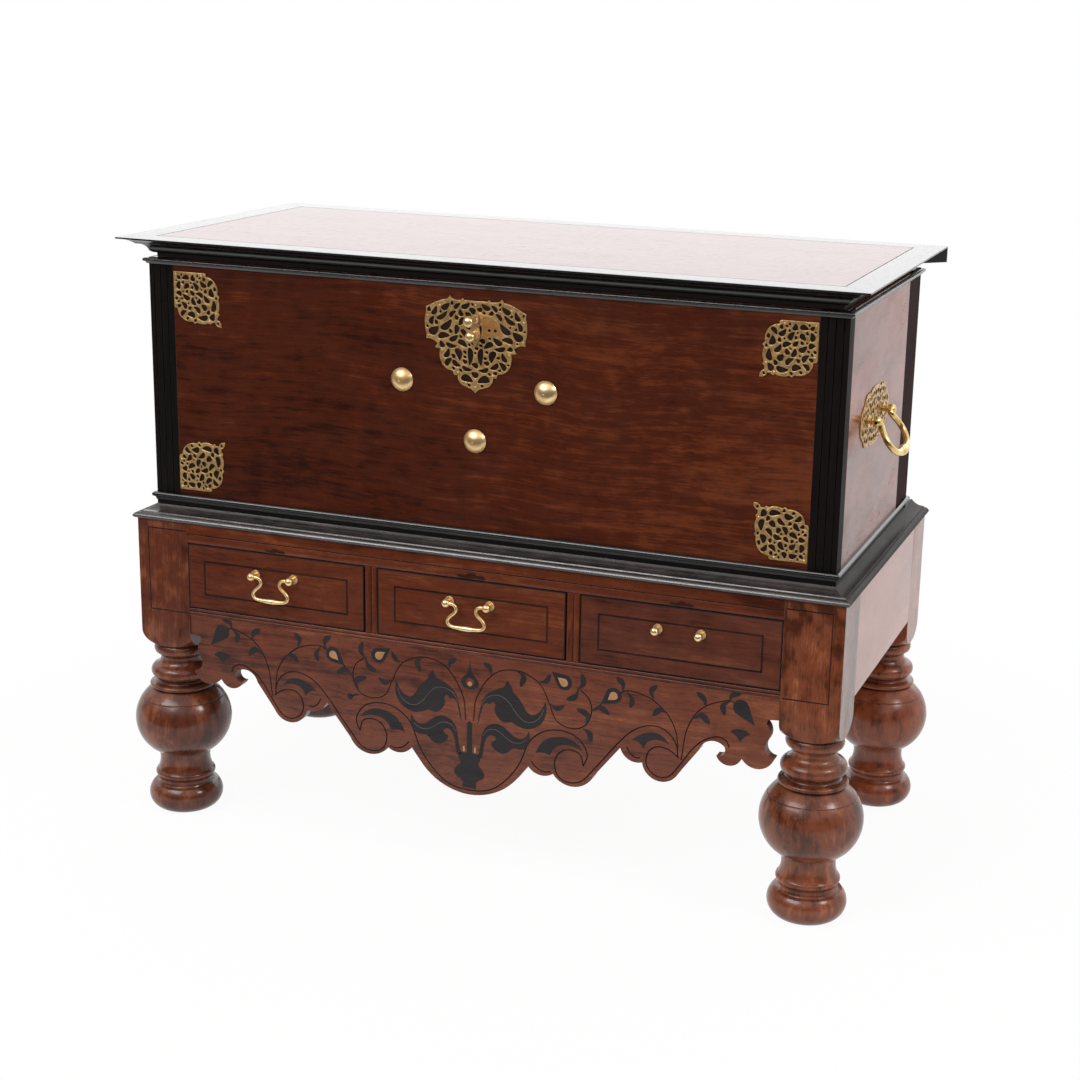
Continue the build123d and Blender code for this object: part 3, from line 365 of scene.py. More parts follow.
# A dark sheet under the sawn plates: painted shade, seen through their holes.
PAINTED_PLATE_SHADE = timber("painted_plate_shade", "X", ((0.006, 0.002, 0.0015), (0.015, 0.005, 0.003), (0.030, 0.010, 0.006),
                                   (0.030, 0.010, 0.006)), 11.0, 0.55, mottle=0.5, wear=0.0, specular=0.2)
STAIN = timber("dark_stain", "X", ((0.012, 0.005, 0.003), (0.030, 0.010, 0.005), (0.070, 0.022, 0.009),
                                    (0.070, 0.022, 0.009)), 12.0, 0.34, figure=0.5, mottle=0.5, wear=0.0, specular=0.2)
FILLET = timber("black_fillet", "X", EBONY, 15.0, 0.34, wear=0.3, specular=0.2)
RING_BRASS = metal("yellow_brass", (0.88, 0.65, 0.28), (0.64, 0.44, 0.165), (0.09, 0.045, 0.015), 0.24, mottle=38.0,
                   wear=0.5, patina_and_shade=0.6, relief=0.00008, metallic=0.94)
IRON = metal("black_iron", (0.11, 0.10, 0.095), (0.05, 0.042, 0.038), (0.02, 0.012, 0.008), 0.5, mottle=50.0,
             metallic=0.9)


def dress(name, material):
    """Give a CAD node's object its finish."""
    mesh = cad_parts[name].data
    mesh.materials.clear()
    mesh.materials.append(material)
    mesh.shade_smooth()


def dress_all():
    """Give every CAD node its finish, each board a grain of its own."""
    seed = 0.0
    for end in ("front", "back"):
        for side in ("left", "right"):
            seed += 1.0
            # The back right leg takes lighter tones: painted light.
            tones = {"left": DARK_LEG, "right": LEG if end == "front" else BACK_LEG_PAINTED_LIGHT}[side]
            dress(f"leg_{end}_{side}", timber(f"turned_leg_{end}_{side}", "Z", tones, seed, 0.20, figure=0.52,
                                              mottle=0.66, streaks=0.30, lean=-0.5 if tones == LEG else -0.1,
                                              wear=0.7, smear=0.26, specular=0.42))
    # Names, grain, tones, polish, and any other values.
    rich = {"figure": 0.44, "mottle": 0.34, "streaks": 0.40, "specular": 0.34, "smear": 0.16}
    post = {**rich, "specular": 0.24}
    chest = {"figure": 0.40, "mottle": 0.30, "streaks": 0.42, "specular": 0.40, "smear": 0.20}
    dull = {"specular": 0.14, "wear": 0.35}
    glossy = {"specular": 0.80, "wear": 0.8, "smear": 0.22}
    flat = {"smear": 0.02, "relief": 0.00001}
    border = {**flat, "specular": 0.68, "wear": 0.9}
    side = {"specular": 0.35, "figure": 0.66, "mottle": 0.46, "smear": 0.36}
    plan = [
        ("front_top_rail", "X", POST, 0.27, post), ("drawer_divider_left drawer_divider_right", "Z", POST, 0.27, post),
        ("bead_rail", "X", POST, 0.25, post),
        # The apron's lean makes it darker towards its left: painted shade.
        ("apron", "X", APRON, 0.29, {**rich, "lean": 0.34}),
        ("side_board_left side_board_right", "Y", STAND_SIDE_PAINTED_LIGHT, 0.12, {**side, "specular": 0.62, "smear": 0.14}),
        ("back_board", "X", POST, 0.46, {}), ("drawer_runners", "Y", INNER, 0.6, {}),
        ("chest_front", "X", CHEST, 0.20, {**chest, "lean": 0.40}), ("chest_back", "X", CHEST, 0.34, rich),
        ("chest_side_left chest_side_right", "Y", SIDE_PAINTED_LIGHT, 0.17, side), ("chest_bottom", "X", INNER, 0.6, {}),
        ("lid_panel", "X", LID, 0.23, {**flat, "figure": 0.20, "mottle": 0.08, "joint": (
            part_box("lid_panel"), (0, 1), 0.0022, (0.020, 0.012, 0.012))}),
        ("lid_border_front lid_border_back", "X", EBONY, 0.19, border),
        ("lid_border_left lid_border_right", "Y", EBONY, 0.19, border),
        ("stand_moulding_front", "X", WORN_EBONY_PAINTED_REFLECTION, 0.16, {**glossy, "figure": 0.5, "mottle": 0.5, "wear": 1.0}),
        ("stand_moulding_left stand_moulding_right", "Y", BROWN_EBONY, 0.40, {"specular": 0.06, "wear": 0.8}),
        ("stand_moulding_back", "X", EBONY, 0.34, {}),
        ("corner_stile_left", "Z", EBONY, 0.36, dull),
        ("corner_stile_right", "Z", EBONY, 0.50, {**dull, "specular": 0.04}),
        ("side_back_strips", "Z", RED_EBONY, 0.60, {**dull, "specular": 0.02}),
        ("top_bead", "X", EBONY, 0.24, glossy), ("base_bead", "X", EBONY, 0.18, glossy),
    ]
    for side, tones, polish in (("left", DRAWER, 0.26), ("middle", DRAWER, 0.26), ("right", DARKER_DRAWER, 0.30)):
        # A dark line round each drawer front: painted shade of the gap between drawer and frame.
        rim = (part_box(f"drawer_{side}_front"), (0, 2), 0.0023, (0.014, 0.005, 0.003))
        plan.append((f"drawer_{side}_front", "X", tones, polish, {**rich, "joint": rim}))
    for side in ("left", "middle", "right"):
        plan += [(f"drawer_{side}_box", "Y", INNER, 0.6, {}), (f"drawer_{side}_bottom", "Y", INNER, 0.65, {})]
    for names, along, tones, polish, others in plan:
        for name in names.split():
            seed += 1.0
            dress(name, timber(f"timber_{name}", along, tones, seed, polish, **others))
    for name in ("corner_plates", "escutcheon", "handle_plate_left", "handle_plate_right"):
        dress(name, SAWN_BRASS)
    for name in ("lock_case", "hinge_leaves_chest", "hinge_pins", "hinge_leaves_lid", "lock_staple"):
        dress(name, IRON)
    for name in ("front_bosses", "keyhole_cover", "drawer_left_pull_posts",
                 "drawer_middle_pull_posts", "drawer_right_pull_posts", "drawer_left_bail",
                 "drawer_middle_bail"):
        dress(name, CAST_BRASS)
    for name in ("handle_posts", "side_bail_left", "side_bail_right"):
        dress(name, RING_BRASS)


dress_all()


# ---------------------------------------------------------------- inlay cut to outlines
STAND_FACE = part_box("drawer_middle_front")[0][1]
APRON_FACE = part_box("apron")[0][1]
UPRIGHT = Matrix(((1, 0, 0), (0, 0, -1), (0, 1, 0))).to_4x4()


def smooth(points, steps=6):
    """Points along a smooth open line through the given ones."""
    ends = [2 * Vector(points[0]) - Vector(points[1])] + [Vector(p) for p in points]
    ends.append(2 * ends[-1] - ends[-2])
    line = []
    for a, b, c, d in zip(ends, ends[1:], ends[2:], ends[3:]):
        for step in range(steps):
            t = step / steps
            line.append(0.5 * (2 * b + (c - a) * t + (2 * a - 5 * b + 4 * c - d) * t ** 2
                               + (3 * b - a - 3 * c + d) * t ** 3))
    return line + [Vector(points[-1])]


def outline(*runs):
    """A closed outline of smooth runs, with a corner wherever one ends and the next begins."""
    loop = []
    for run, after in zip(runs, runs[1:] + runs[:1]):
        loop += smooth(list(run) + [after[0]])[:-1]
    return loop


def mirrored_loop(loop):
    """The same points on the other side of the centre line, in turn."""
    return [Vector((-p[0], p[1])) for p in reversed(loop)]


def both_sides(half):
    """A symmetric outline from its right half, whose two ends lie on the centre line."""
    return list(half) + mirrored_loop(half[1:-1])


def round_loop(x, z, radius, count=20):
    """A circle as a closed outline."""
    return [Vector((x + radius * math.cos(a), z + radius * math.sin(a)))
            for a in (math.tau * i / count for i in range(count))]


def teardrop(x, z, radius, tip):
    """A round bud drawn out to a tip."""
    away = math.atan2(tip[1] - z, tip[0] - x)
    arc = [away + math.radians(a) for a in (62, 100, 140, 180, 220, 260, 298)]
    return outline([tip], [(x + radius * math.cos(a), z + radius * math.sin(a)) for a in arc])


def curled_leaf(root, middle, tip, width):
    """A leaf that is thin at its root, widest past its middle, and curled to its tip."""
    spine = smooth([root, middle, tip], 5)
    left, right = [], []
    for index, point in enumerate(spine):
        share = index / (len(spine) - 1)
        ahead = spine[min(index + 1, len(spine) - 1)] - spine[max(index - 1, 0)]
        across = Vector((-ahead[1], ahead[0])).normalized()
        half = 0.5 * width * (0.16 + 0.84 * math.sin(math.pi * min(1.0, share ** 1.5 * 0.94 + 0.02)))
        if index == len(spine) - 1:
            half = 0.4
        left.append(point + across * half)
        right.append(point - across * half)
    return left + right[::-1]


def cut_sheet(name, shapes, low, high, place, chamfer=0.0):
    """A sheet cut to outlines: its mesh from a low to a high level, then set in place. A shape is a loop and holes."""
    bm = bmesh.new()
    for shape in shapes:
        edges = []
        for loop in shape:
            verts = [bm.verts.new((p[0] * MM, p[1] * MM, high * MM)) for p in loop]
            edges += [bm.edges.new(pair) for pair in zip(verts, verts[1:] + verts[:1])]
        made = bmesh.ops.triangle_fill(bm, use_beauty=True, edges=edges)
        faces = [f for f in made["geom"] if isinstance(f, bmesh.types.BMFace)]
        extruded = bmesh.ops.extrude_face_region(bm, geom=faces)
        moved = [v for v in extruded["geom"] if isinstance(v, bmesh.types.BMVert)]
        bmesh.ops.translate(bm, verts=moved, vec=(0, 0, (low - high) * MM))
    bmesh.ops.recalc_face_normals(bm, faces=bm.faces)
    if chamfer:
        rim = [e for e in bm.edges if all(abs(v.co.z - high * MM) < 1e-7 for v in e.verts)
               and len(e.link_faces) == 2 and e.calc_face_angle() > 1.0]
        bmesh.ops.bevel(bm, geom=rim, offset=chamfer * MM, segments=1, affect="EDGES", clamp_overlap=True)
    bmesh.ops.transform(bm, matrix=place, verts=bm.verts)
    if place.determinant() < 0:
        bmesh.ops.reverse_faces(bm, faces=bm.faces)
    mesh = bpy.data.meshes.new(name)
    bm.to_mesh(mesh)
    bm.free()
    return mesh


def joined(name, meshes):
    """Several meshes as one."""
    bm = bmesh.new()
    for mesh in meshes:
        bm.from_mesh(mesh)
        bpy.data.meshes.remove(mesh)
    whole = bpy.data.meshes.new(name)
    bm.to_mesh(whole)
    bm.free()
    return whole


def veneer(name, shapes, face, proud, material, body):
    """Inlay cut to outlines, a little proud of the upright face it is let into."""
    mesh = cut_sheet(name, shapes, -0.4, proud, Matrix.Translation((0, face, 0)) @ UPRIGHT)
    return placed(name, mesh, material, body)


def placed(name, mesh, material, body, smooth_shade=False):
    """Link a finished mesh as a piece of the object."""
    mesh.materials.clear()
    mesh.materials.append(material)
    if smooth_shade:
        mesh.shade_smooth()
    piece = bpy.data.objects.new(name, mesh)
    bpy.context.scene.collection.objects.link(piece)
    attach(piece, body)
    return piece


# ---------------------------------------------------------------- what follows a path or repeats
def geometry_tree(name, inputs):
    """A Geometry Nodes tree with geometry in and out and its named inputs."""
    tree = bpy.data.node_groups.new(name, "GeometryNodeTree")
    face = tree.interface
    face.new_socket("Geometry", in_out="INPUT", socket_type="NodeSocketGeometry")
    face.new_socket("Geometry", in_out="OUTPUT", socket_type="NodeSocketGeometry")
    for label, kind in inputs.items():
        face.new_socket(label, in_out="INPUT", socket_type=kind)
    return tree, add(tree, "NodeGroupInput").outputs


def finish_tree(tree, geometry, given):
    """End a tree with real geometry in its material."""
    real = add(tree, "GeometryNodeRealizeInstances", {0: geometry})
    done = add(tree, "GeometryNodeSetMaterial", {0: real.outputs[0], "Material": given["Material"]})
    add(tree, "NodeGroupOutput", {0: done.outputs[0]})
    return tree


def string_tree():
    """A flat string of inlay along each line."""
    tree, given = geometry_tree("string_inlay", {"Width": "NodeSocketFloat", "Depth": "NodeSocketFloat",
                                                 "Material": "NodeSocketMaterial"})
    section = add(tree, "GeometryNodeCurvePrimitiveQuadrilateral", {"Width": given["Width"],
                                                                   "Height": given["Depth"]})
    strip = add(tree, "GeometryNodeCurveToMesh", {"Curve": given["Geometry"], "Profile Curve": section.outputs[0],
                                                  "Fill Caps": True})
    return finish_tree(tree, strip.outputs[0], given)


def bail_tree():
    """A cast bail along its line: a round bar that swells to a grip at the middle and thins at its ends."""
    tree, given = geometry_tree("cast_bail", {
        "Bar Radius": "NodeSocketFloat", "Grip Radius": "NodeSocketFloat", "Grip Share": "NodeSocketFloat",
        "End Radius": "NodeSocketFloat", "Material": "NodeSocketMaterial"})
    along = add(tree, "GeometryNodeSplineParameter").outputs["Factor"]
    off = math_node(tree, "ABSOLUTE", math_node(tree, "SUBTRACT", along, 0.5))
    swell = math_node(tree, "DIVIDE", off, given["Grip Share"])
    swell = math_node(tree, "EXPONENT", math_node(tree, "MULTIPLY", math_node(tree, "POWER", swell, 2.0), -1.0))
    ends = add(tree, "ShaderNodeMapRange", {"Value": off, "From Min": 0.30, "From Max": 0.5, "To Min": 0.0,
                                            "To Max": 1.0}).outputs["Result"]
    grip = math_node(tree, "MULTIPLY", math_node(tree, "SUBTRACT", given["Grip Radius"], given["Bar Radius"]), swell)
    thin = math_node(tree, "MULTIPLY", math_node(tree, "SUBTRACT", given["End Radius"], given["Bar Radius"]), ends)
    radius = math_node(tree, "ADD", math_node(tree, "ADD", given["Bar Radius"], grip), thin)
    section = add(tree, "GeometryNodeCurvePrimitiveCircle", {"Resolution": 24, "Radius": 1.0})
    bar = add(tree, "GeometryNodeSetCurveRadius", {"Curve": given["Geometry"], "Radius": radius})
    inputs = {"Curve": bar.outputs[0], "Profile Curve": section.outputs[0], "Fill Caps": True}
    swept = add(tree, "GeometryNodeCurveToMesh", inputs)
    if "Scale" in swept.inputs:
        tree.links.new(radius, swept.inputs["Scale"])
    return finish_tree(tree, swept.outputs[0], given)


def stud_tree():
    """A small domed head at each point, facing along one direction."""
    tree, given = geometry_tree("domed_heads", {"Radius": "NodeSocketFloat", "Rise": "NodeSocketFloat",
                                                "Facing": "NodeSocketVector", "Material": "NodeSocketMaterial"})
    ball = add(tree, "GeometryNodeMeshUVSphere", {"Segments": 12, "Rings": 8, "Radius": given["Radius"]})
    flat = add(tree, "ShaderNodeCombineXYZ", {0: 1.0, 1: 1.0, 2: given["Rise"]})
    head = add(tree, "GeometryNodeTransform", {"Geometry": ball.outputs[0], "Scale": flat.outputs[0]})
    turn = add(tree, "FunctionNodeAlignEulerToVector", {"Vector": given["Facing"]}, axis="Z")
    heads = add(tree, "GeometryNodeInstanceOnPoints", {"Points": given["Geometry"], "Instance": head.outputs[0],
                                                       "Rotation": turn.outputs[0]})
    return finish_tree(tree, heads.outputs[0], given)


STRING_TREE = string_tree()
BAIL_TREE = bail_tree()
STUD_TREE = stud_tree()


def grown(name, data, tree, values, turn=None):
    """The plain mesh that a tree makes of a curve or of points, set in place."""
    source = bpy.data.objects.new(name + "_source", data)
    bpy.context.scene.collection.objects.link(source)
    modifier = source.modifiers.new("grown", "NODES")
    modifier.node_group = tree
    for item in tree.interface.items_tree:
        if item.in_out == "INPUT" and item.name in values:
            modifier[item.identifier] = values[item.name]
    made = bpy.data.meshes.new_from_object(source.evaluated_get(bpy.context.evaluated_depsgraph_get()))
    source.modifiers.clear()
    bpy.data.objects.remove(source)
    bm = bmesh.new()
    bm.from_mesh(made)
    if turn is not None:
        bmesh.ops.transform(bm, matrix=turn, verts=bm.verts)
    bmesh.ops.remove_doubles(bm, verts=bm.verts, dist=1e-6)
    bmesh.ops.recalc_face_normals(bm, faces=bm.faces)
    bm.to_mesh(made)
    bm.free()
    made.name = name
    return made


def curve_of(name, lines, closed=False):
    """A curve with one straight-run spline for each line of points, in metres."""
    data = bpy.data.curves.new(name, "CURVE")
    data.dimensions = "3D"
    for line in lines:
        spline = data.splines.new("POLY")
        spline.points.add(len(line) - 1)
        for point, place in zip(spline.points, line):
            point.co = (place[0], place[1], place[2] if len(place) > 2 else 0.0, 1.0)
        spline.use_cyclic_u = closed
    return data


def strings(name, lines, width, face, proud, material, body, closed=False):
    """Flat strings of inlay along lines on an upright face. The tree works flat, then the strip is stood up."""
    depth = 0.6
    flat = [[(p[0] * MM, p[1] * MM, 0.0) for p in line] for line in lines]
    stand = Matrix.Translation((0, face + (depth / 2 - proud) * MM, 0)) @ UPRIGHT
    mesh = grown(name, curve_of(name, flat, closed), STRING_TREE,
                 {"Width": width * MM, "Depth": depth * MM, "Material": material}, stand)
    return placed(name, mesh, material, body)


# ---------------------------------------------------------------- the apron's inlay
def apron_inlay():
    """The vase with its flowers, the leaves, the vines and the lines along the apron's edge."""
    vase = both_sides(smooth([(0, 141), (13, 141)], 1) + smooth(
        [(13, 141), (12, 149), (16, 156), (25, 161), (27.5, 168), (23, 177), (16, 184), (17, 189), (20, 194),
         (19, 200), (15, 203.5)], 3)[1:] + [Vector((5, 204)), Vector((4.6, 256)), Vector((0, 262))])
    tulip = outline(
        [(14, 256), (16, 270), (20, 291), (24, 303), (33, 315), (50, 325), (61, 330)],
        [(67, 342), (74, 333)],
        [(77, 324), (86, 316), (94, 306), (101, 294), (111, 288), (124, 295), (131, 306)],
        [(135, 316), (136.5, 297), (130, 278), (117, 267), (102, 262), (87, 265)],
        [(76, 270), (61, 268), (50, 276), (44.5, 288), (46, 297), (41, 301), (36, 296), (29, 297.5), (23.5, 290),
         (20, 278), (17.5, 266)])
    lower = outline(
        [(15.5, 200), (20, 222), (22, 236), (26, 249), (34.5, 259), (48, 263.5), (60, 260.5), (71, 252.5),
         (81, 245), (92, 243), (101, 248.5)],
        [(107, 259), (108, 244), (103, 231), (94, 224.5), (80, 224.5)],
        [(74, 221), (68, 215), (59, 212), (48, 215.5), (41, 222), (39.5, 229), (45, 232.5), (47.5, 237.5), (42, 241.5),
         (35, 240), (30, 233), (26.5, 222), (23, 200)])
    wave = outline([(118.5, 223), (126, 238), (138, 250), (154, 256.5), (173, 257.7), (191, 250.5)],
                   [(203, 238.5), (185, 244), (167, 244), (153, 237)], [(144, 223), (131, 225.5)])
    small_wave = outline([(285, 272), (297, 281.5), (312, 288.5), (327, 289.6), (340, 283.7)],
                         [(349, 274), (336, 278), (323, 277.5), (312, 272)], [(306, 259.5), (300, 267.5), (294, 271)])
    fan = outline([(449, 312), (457, 316.5), (466, 318), (475, 316.5)], [(483, 311), (474, 306), (468.5, 300)],
                  [(466, 295), (463, 301), (458, 306.5)])
    leaves = [
        ((39, 347), (35, 360), (24, 367), 9.5), ((85, 360.5), (96, 352), (90, 334), 10),
        ((123, 347.5), (135, 350), (143, 364), 8.5), ((190, 344), (200, 356), (197, 373), 10),
        ((192, 345), (186, 331), (171, 324), 10), ((143, 313), (154, 306), (168, 313), 9),
        ((206.5, 287), (208, 303), (189, 311), 11), ((215.5, 311), (230, 319), (247, 308.5), 10),
        ((268, 352), (267, 366), (256, 375), 10), ((276, 353), (284, 340), (281, 326), 9),
        ((320, 347), (316, 360), (326, 372), 9), ((344, 327), (331, 330), (319, 318.5), 10),
        ((408, 346), (404, 360), (391, 369.5), 10), ((387, 324), (402, 331), (415, 318.5), 11),
        ((446, 362), (451, 373), (465, 377), 9), ((447, 362), (436, 353), (439, 337), 10),
    ]
    buds = [teardrop(167, 353, 13.5, (145, 369)), teardrop(252.5, 343, 13.5, (231, 326)),
            teardrop(465.5, 354, 13.5, (489, 327))]
    hearts = [teardrop(166.5, 352.5, 7.0, (155, 360.5)), teardrop(252.5, 342.5, 7.0, (242.5, 334))]
    right = [tulip, lower, wave, small_wave, fan] + buds + [curled_leaf(*leaf) for leaf in leaves]
    shapes = [[loop] for loop in right] + [[mirrored_loop(loop)] for loop in right]
    shapes.append([curled_leaf((201, 278), (212, 272), (215.5, 256), 10)])
    drop = both_sides(smooth([(0, 369), (1.6, 356), (4.5, 346), (12, 337), (16, 329), (11.5, 320), (0, 316.5)], 4))
    shapes += [[vase], [drop, round_loop(0, 329, 7.6)],
               [round_loop(-221, 272, 5.6)], [curled_leaf((-203, 277), (-209, 277), (-219, 273), 4.0)]]
    veneer("apron_black_inlay", shapes, APRON_FACE, 0.12, INLAY_BLACK, "root")
    bars = [[Vector(p) for p in ((8.4, 205.5), (12, 205.5), (12, 215), (8.4, 215))]]
    pale = hearts + bars
    pale += [mirrored_loop(loop) for loop in pale]
    pale.append(round_loop(0, 326.5, 4.2))
    veneer("apron_pale_inlay", [[loop] for loop in pale], APRON_FACE, 0.20, INLAY_PALE, "root")

    vines = [
        [(7, 262), (8.5, 280), (10, 296), (17, 314), (29, 335), (46, 352), (65, 360), (87, 361.5), (104, 356.5),
         (122, 346.5), (133, 332), (139.5, 317), (144.5, 306), (148, 296), (155, 285), (166, 278), (181, 275.5),
         (196, 278.5), (207, 287), (214, 302), (215, 318), (208.5, 333), (195, 344)],
        [(215.5, 312), (226, 319), (234, 329)],
        [(265, 350), (276, 355), (290, 354.5), (304, 351), (318, 346), (334, 334.5), (347, 321.5), (356, 306),
         (361, 291), (363, 274), (363.5, 257)],
        [(369.5, 250), (371.5, 262), (373, 278), (375.5, 296), (381, 313), (388.5, 328), (399, 341), (412, 351),
         (430, 358.5), (446, 363), (456, 360)],
    ]
    edging = [
        [(0, 137), (25, 139.5), (48, 149.5), (69, 169), (85, 190), (96, 212), (103, 232), (115, 250), (138, 265),
         (165, 269), (190, 262), (205, 246), (209.5, 230), (203, 213)],
        [(203, 213), (197, 232), (180, 238), (163, 232), (153, 215), (155, 196), (166, 183), (185, 180.5),
         (203, 188), (222, 211), (240, 234), (260, 260), (283, 285), (306, 298.5), (331, 301), (351, 290),
         (361.5, 273), (364, 256)],
        [(366, 253), (350, 264), (330, 267), (315, 257), (310.5, 239), (317, 224), (333, 215), (350, 219),
         (362, 233), (374, 251), (388, 272), (405, 289), (427, 299), (443, 295), (449, 284)],
        [(300, 243), (291, 243), (283, 249), (277, 259)],
        [(146, 194), (134, 192), (121, 197), (111, 207)],
    ]

    def paired(lines):
        full = [smooth(line, 5) for line in lines]
        return full + [[Vector((-p[0], p[1])) for p in line] for line in full]

    strings("apron_vines", paired(vines), 1.9, APRON_FACE, 0.09, INLAY_LINE, "root")
    strings("apron_edge_line", paired(edging), 2.2, APRON_FACE, 0.07, INLAY_LINE, "root")
    ribs = [[(21.5, 290), (26, 301), (34, 309), (48, 313.5), (63, 310.5), (74, 300), (85, 285.5), (98, 275.5),
             (113, 276), (126, 286.5), (132, 301)],
            [(25, 239), (32, 249), (43, 252.5), (54.5, 249.5), (66, 241), (79, 235), (92, 236), (102, 243)]]
    strings("apron_leaf_ribs", paired(ribs), 1.1, APRON_FACE, 0.17, INLAY_GREY, "root")


def line_box(x_low, x_high, z_low, z_high):
    """A rectangle as a closed outline."""
    return [Vector(p) for p in ((x_low, z_low), (x_high, z_low), (x_high, z_high), (x_low, z_high))]


def stringing():
    """The dark lines round each drawer front and on the posts."""
    aside, below, above = 31, 26, 28
    for name in ("left", "middle", "right"):
        low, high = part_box(f"drawer_{name}_front")
        box = line_box(low[0] / MM + aside, high[0] / MM - aside, low[2] / MM + below, high[2] / MM - above)
        strings(f"drawer_{name}_line", [box], 4.2, STAND_FACE, 0.08, INLAY_LINE, f"drawer_{name}", True)
    inner, outer, foot, top = 531, 605, 380, 527
    lines = [[Vector((sx * x, z)) for x, z in ((inner, top), (outer, top), (outer, foot), (inner, foot))]
             for sx in (-1, 1)]
    strings("post_lines", lines, 2.3, STAND_FACE, 0.08, INLAY_LINE, "root")


def rail_stains():
    """Dark worn spots on the rail over the middle of each drawer."""
    spot = [(-24, 1.5), (-19, 4.6), (-9, 3.8), (-3, 8.0), (6, 8.6), (12, 5.0), (20, 5.6), (27, 2.0), (22, -1.2),
            (9, -0.4), (-6, -1.6), (-18, -0.8)]
    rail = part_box("front_top_rail")[0][2] / MM
    loops = []
    for name, stretch in (("left", 0.75), ("middle", 1.0), ("right", 0.8)):
        low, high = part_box(f"drawer_{name}_front")
        middle = (low[0] + high[0]) / 2 / MM
        loops.append([[Vector((middle + p[0] * stretch, p[1] * stretch + rail + 3.2))
                       for p in smooth(spot + spot[:1], 3)[:-1]]])
    veneer("rail_stains", loops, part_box("front_top_rail")[0][1], 0.05, STAIN, "root")


def ebony_fillets():
    """Thin black fillets over the chest's boards, above the top bead and below the base bead."""
    joint, rise, least = 0.0002, 0.0001, 0.001  # in metres
    sunk, proud, bevel = 0.2, 0.5, 0.2  # in mm, as the outlines are
    chest_low, chest_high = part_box("chest_front")
    side_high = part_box("chest_side_right")[1]
    bands = {"top": (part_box("top_bead")[1][2] + joint, chest_high[2] + rise),
             "base": (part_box("stand_moulding_front")[1][2] + joint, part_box("base_bead")[0][2] - joint)}
    for end, (low, high) in bands.items():
        if high - low < least:
            continue
        meshes = []
        half, tall, deep = chest_high[0] / MM, (high - low) / MM, (side_high[1] - chest_low[1]) / MM
        place = Matrix.Translation((0, chest_low[1], low)) @ UPRIGHT
        meshes.append(cut_sheet("fillet", [[line_box(-half - 0.5, half + 0.5, 0, tall)]], -sunk, proud, place, bevel))
        for sx in (-1, 1):
            place = Matrix(((0, 0, sx, sx * side_high[0]), (1, 0, 0, chest_low[1]), (0, 1, 0, low), (0, 0, 0, 1)))
            meshes.append(cut_sheet("fillet", [[line_box(0, deep, 0, tall)]], -sunk, proud, place, bevel))
        placed(f"{end}_fillet", joined(f"{end}_fillet", meshes), FILLET, "root")


apron_inlay()
stringing()
ebony_fillets()
rail_stains()


# ---------------------------------------------------------------- sawn brass plates
PLATE = 1.6  # thickness in mm
LOCK_ORIGIN_Z = 968  # height from which the points of the lock plate are measured
STUD_Z = 931
COVER_KNOB_DROP = 25
RING_PIVOT = 600 + PLATE + 15  # from the chest's middle to the side bails' axis
RING_LIFT = 33  # degrees from hanging
PLATE_BEVEL = 0.45
FIRST_SIZE, FILLER_SIZE = 0.5, 0.4  # what a hole grows from, as a share of its mark's size
HOLE_STEP = 0.06  # how much it grows at a time, as a share of the same
FILLER_MOST = 1.5
SEARCH_STEP = 2.5  # mm between the places tried for another hole


def open_line(*runs):
    """Smooth runs joined by straight steps, from the first point to the last."""
    line = []
    for run in runs:
        line += smooth(list(run), 4) if len(run) > 1 else [Vector(run[0])]
    return line


def sawn_hole(x, y, length, width, turn, bend, size=1.0):
    """A comma-shaped hole: full at its head, narrow at its tail and bent along its length."""
    angle, loop = math.radians(turn), []
    for step in range(14):
        t = math.tau * step / 14
        u = 0.5 * length * size * math.cos(t)
        v = size * (0.5 * width * math.sin(t) * (1 + 0.38 * math.cos(t)) + bend * (math.cos(t) ** 2 - 0.4))
        loop.append(Vector((x + u * math.cos(angle) - v * math.sin(angle),
                            y + u * math.sin(angle) + v * math.cos(angle))))
    return loop


def within(loop, x, y):
    """Whether a point lies inside a closed outline."""
    inside = False
    for a, b in zip(loop, loop[1:] + loop[:1]):
        if (a[1] > y) != (b[1] > y) and x < a[0] + (y - a[1]) * (b[0] - a[0]) / (b[1] - a[1]):
            inside = not inside
    return inside


def close_points(loop):
    """Points along a closed outline, never more than 1.5 mm apart."""
    points = []
    for a, b in zip(loop, loop[1:] + loop[:1]):
        count = max(1, math.ceil((b - a).length / 1.5))
        points += [a.lerp(b, step / count) for step in range(count)]
    return points


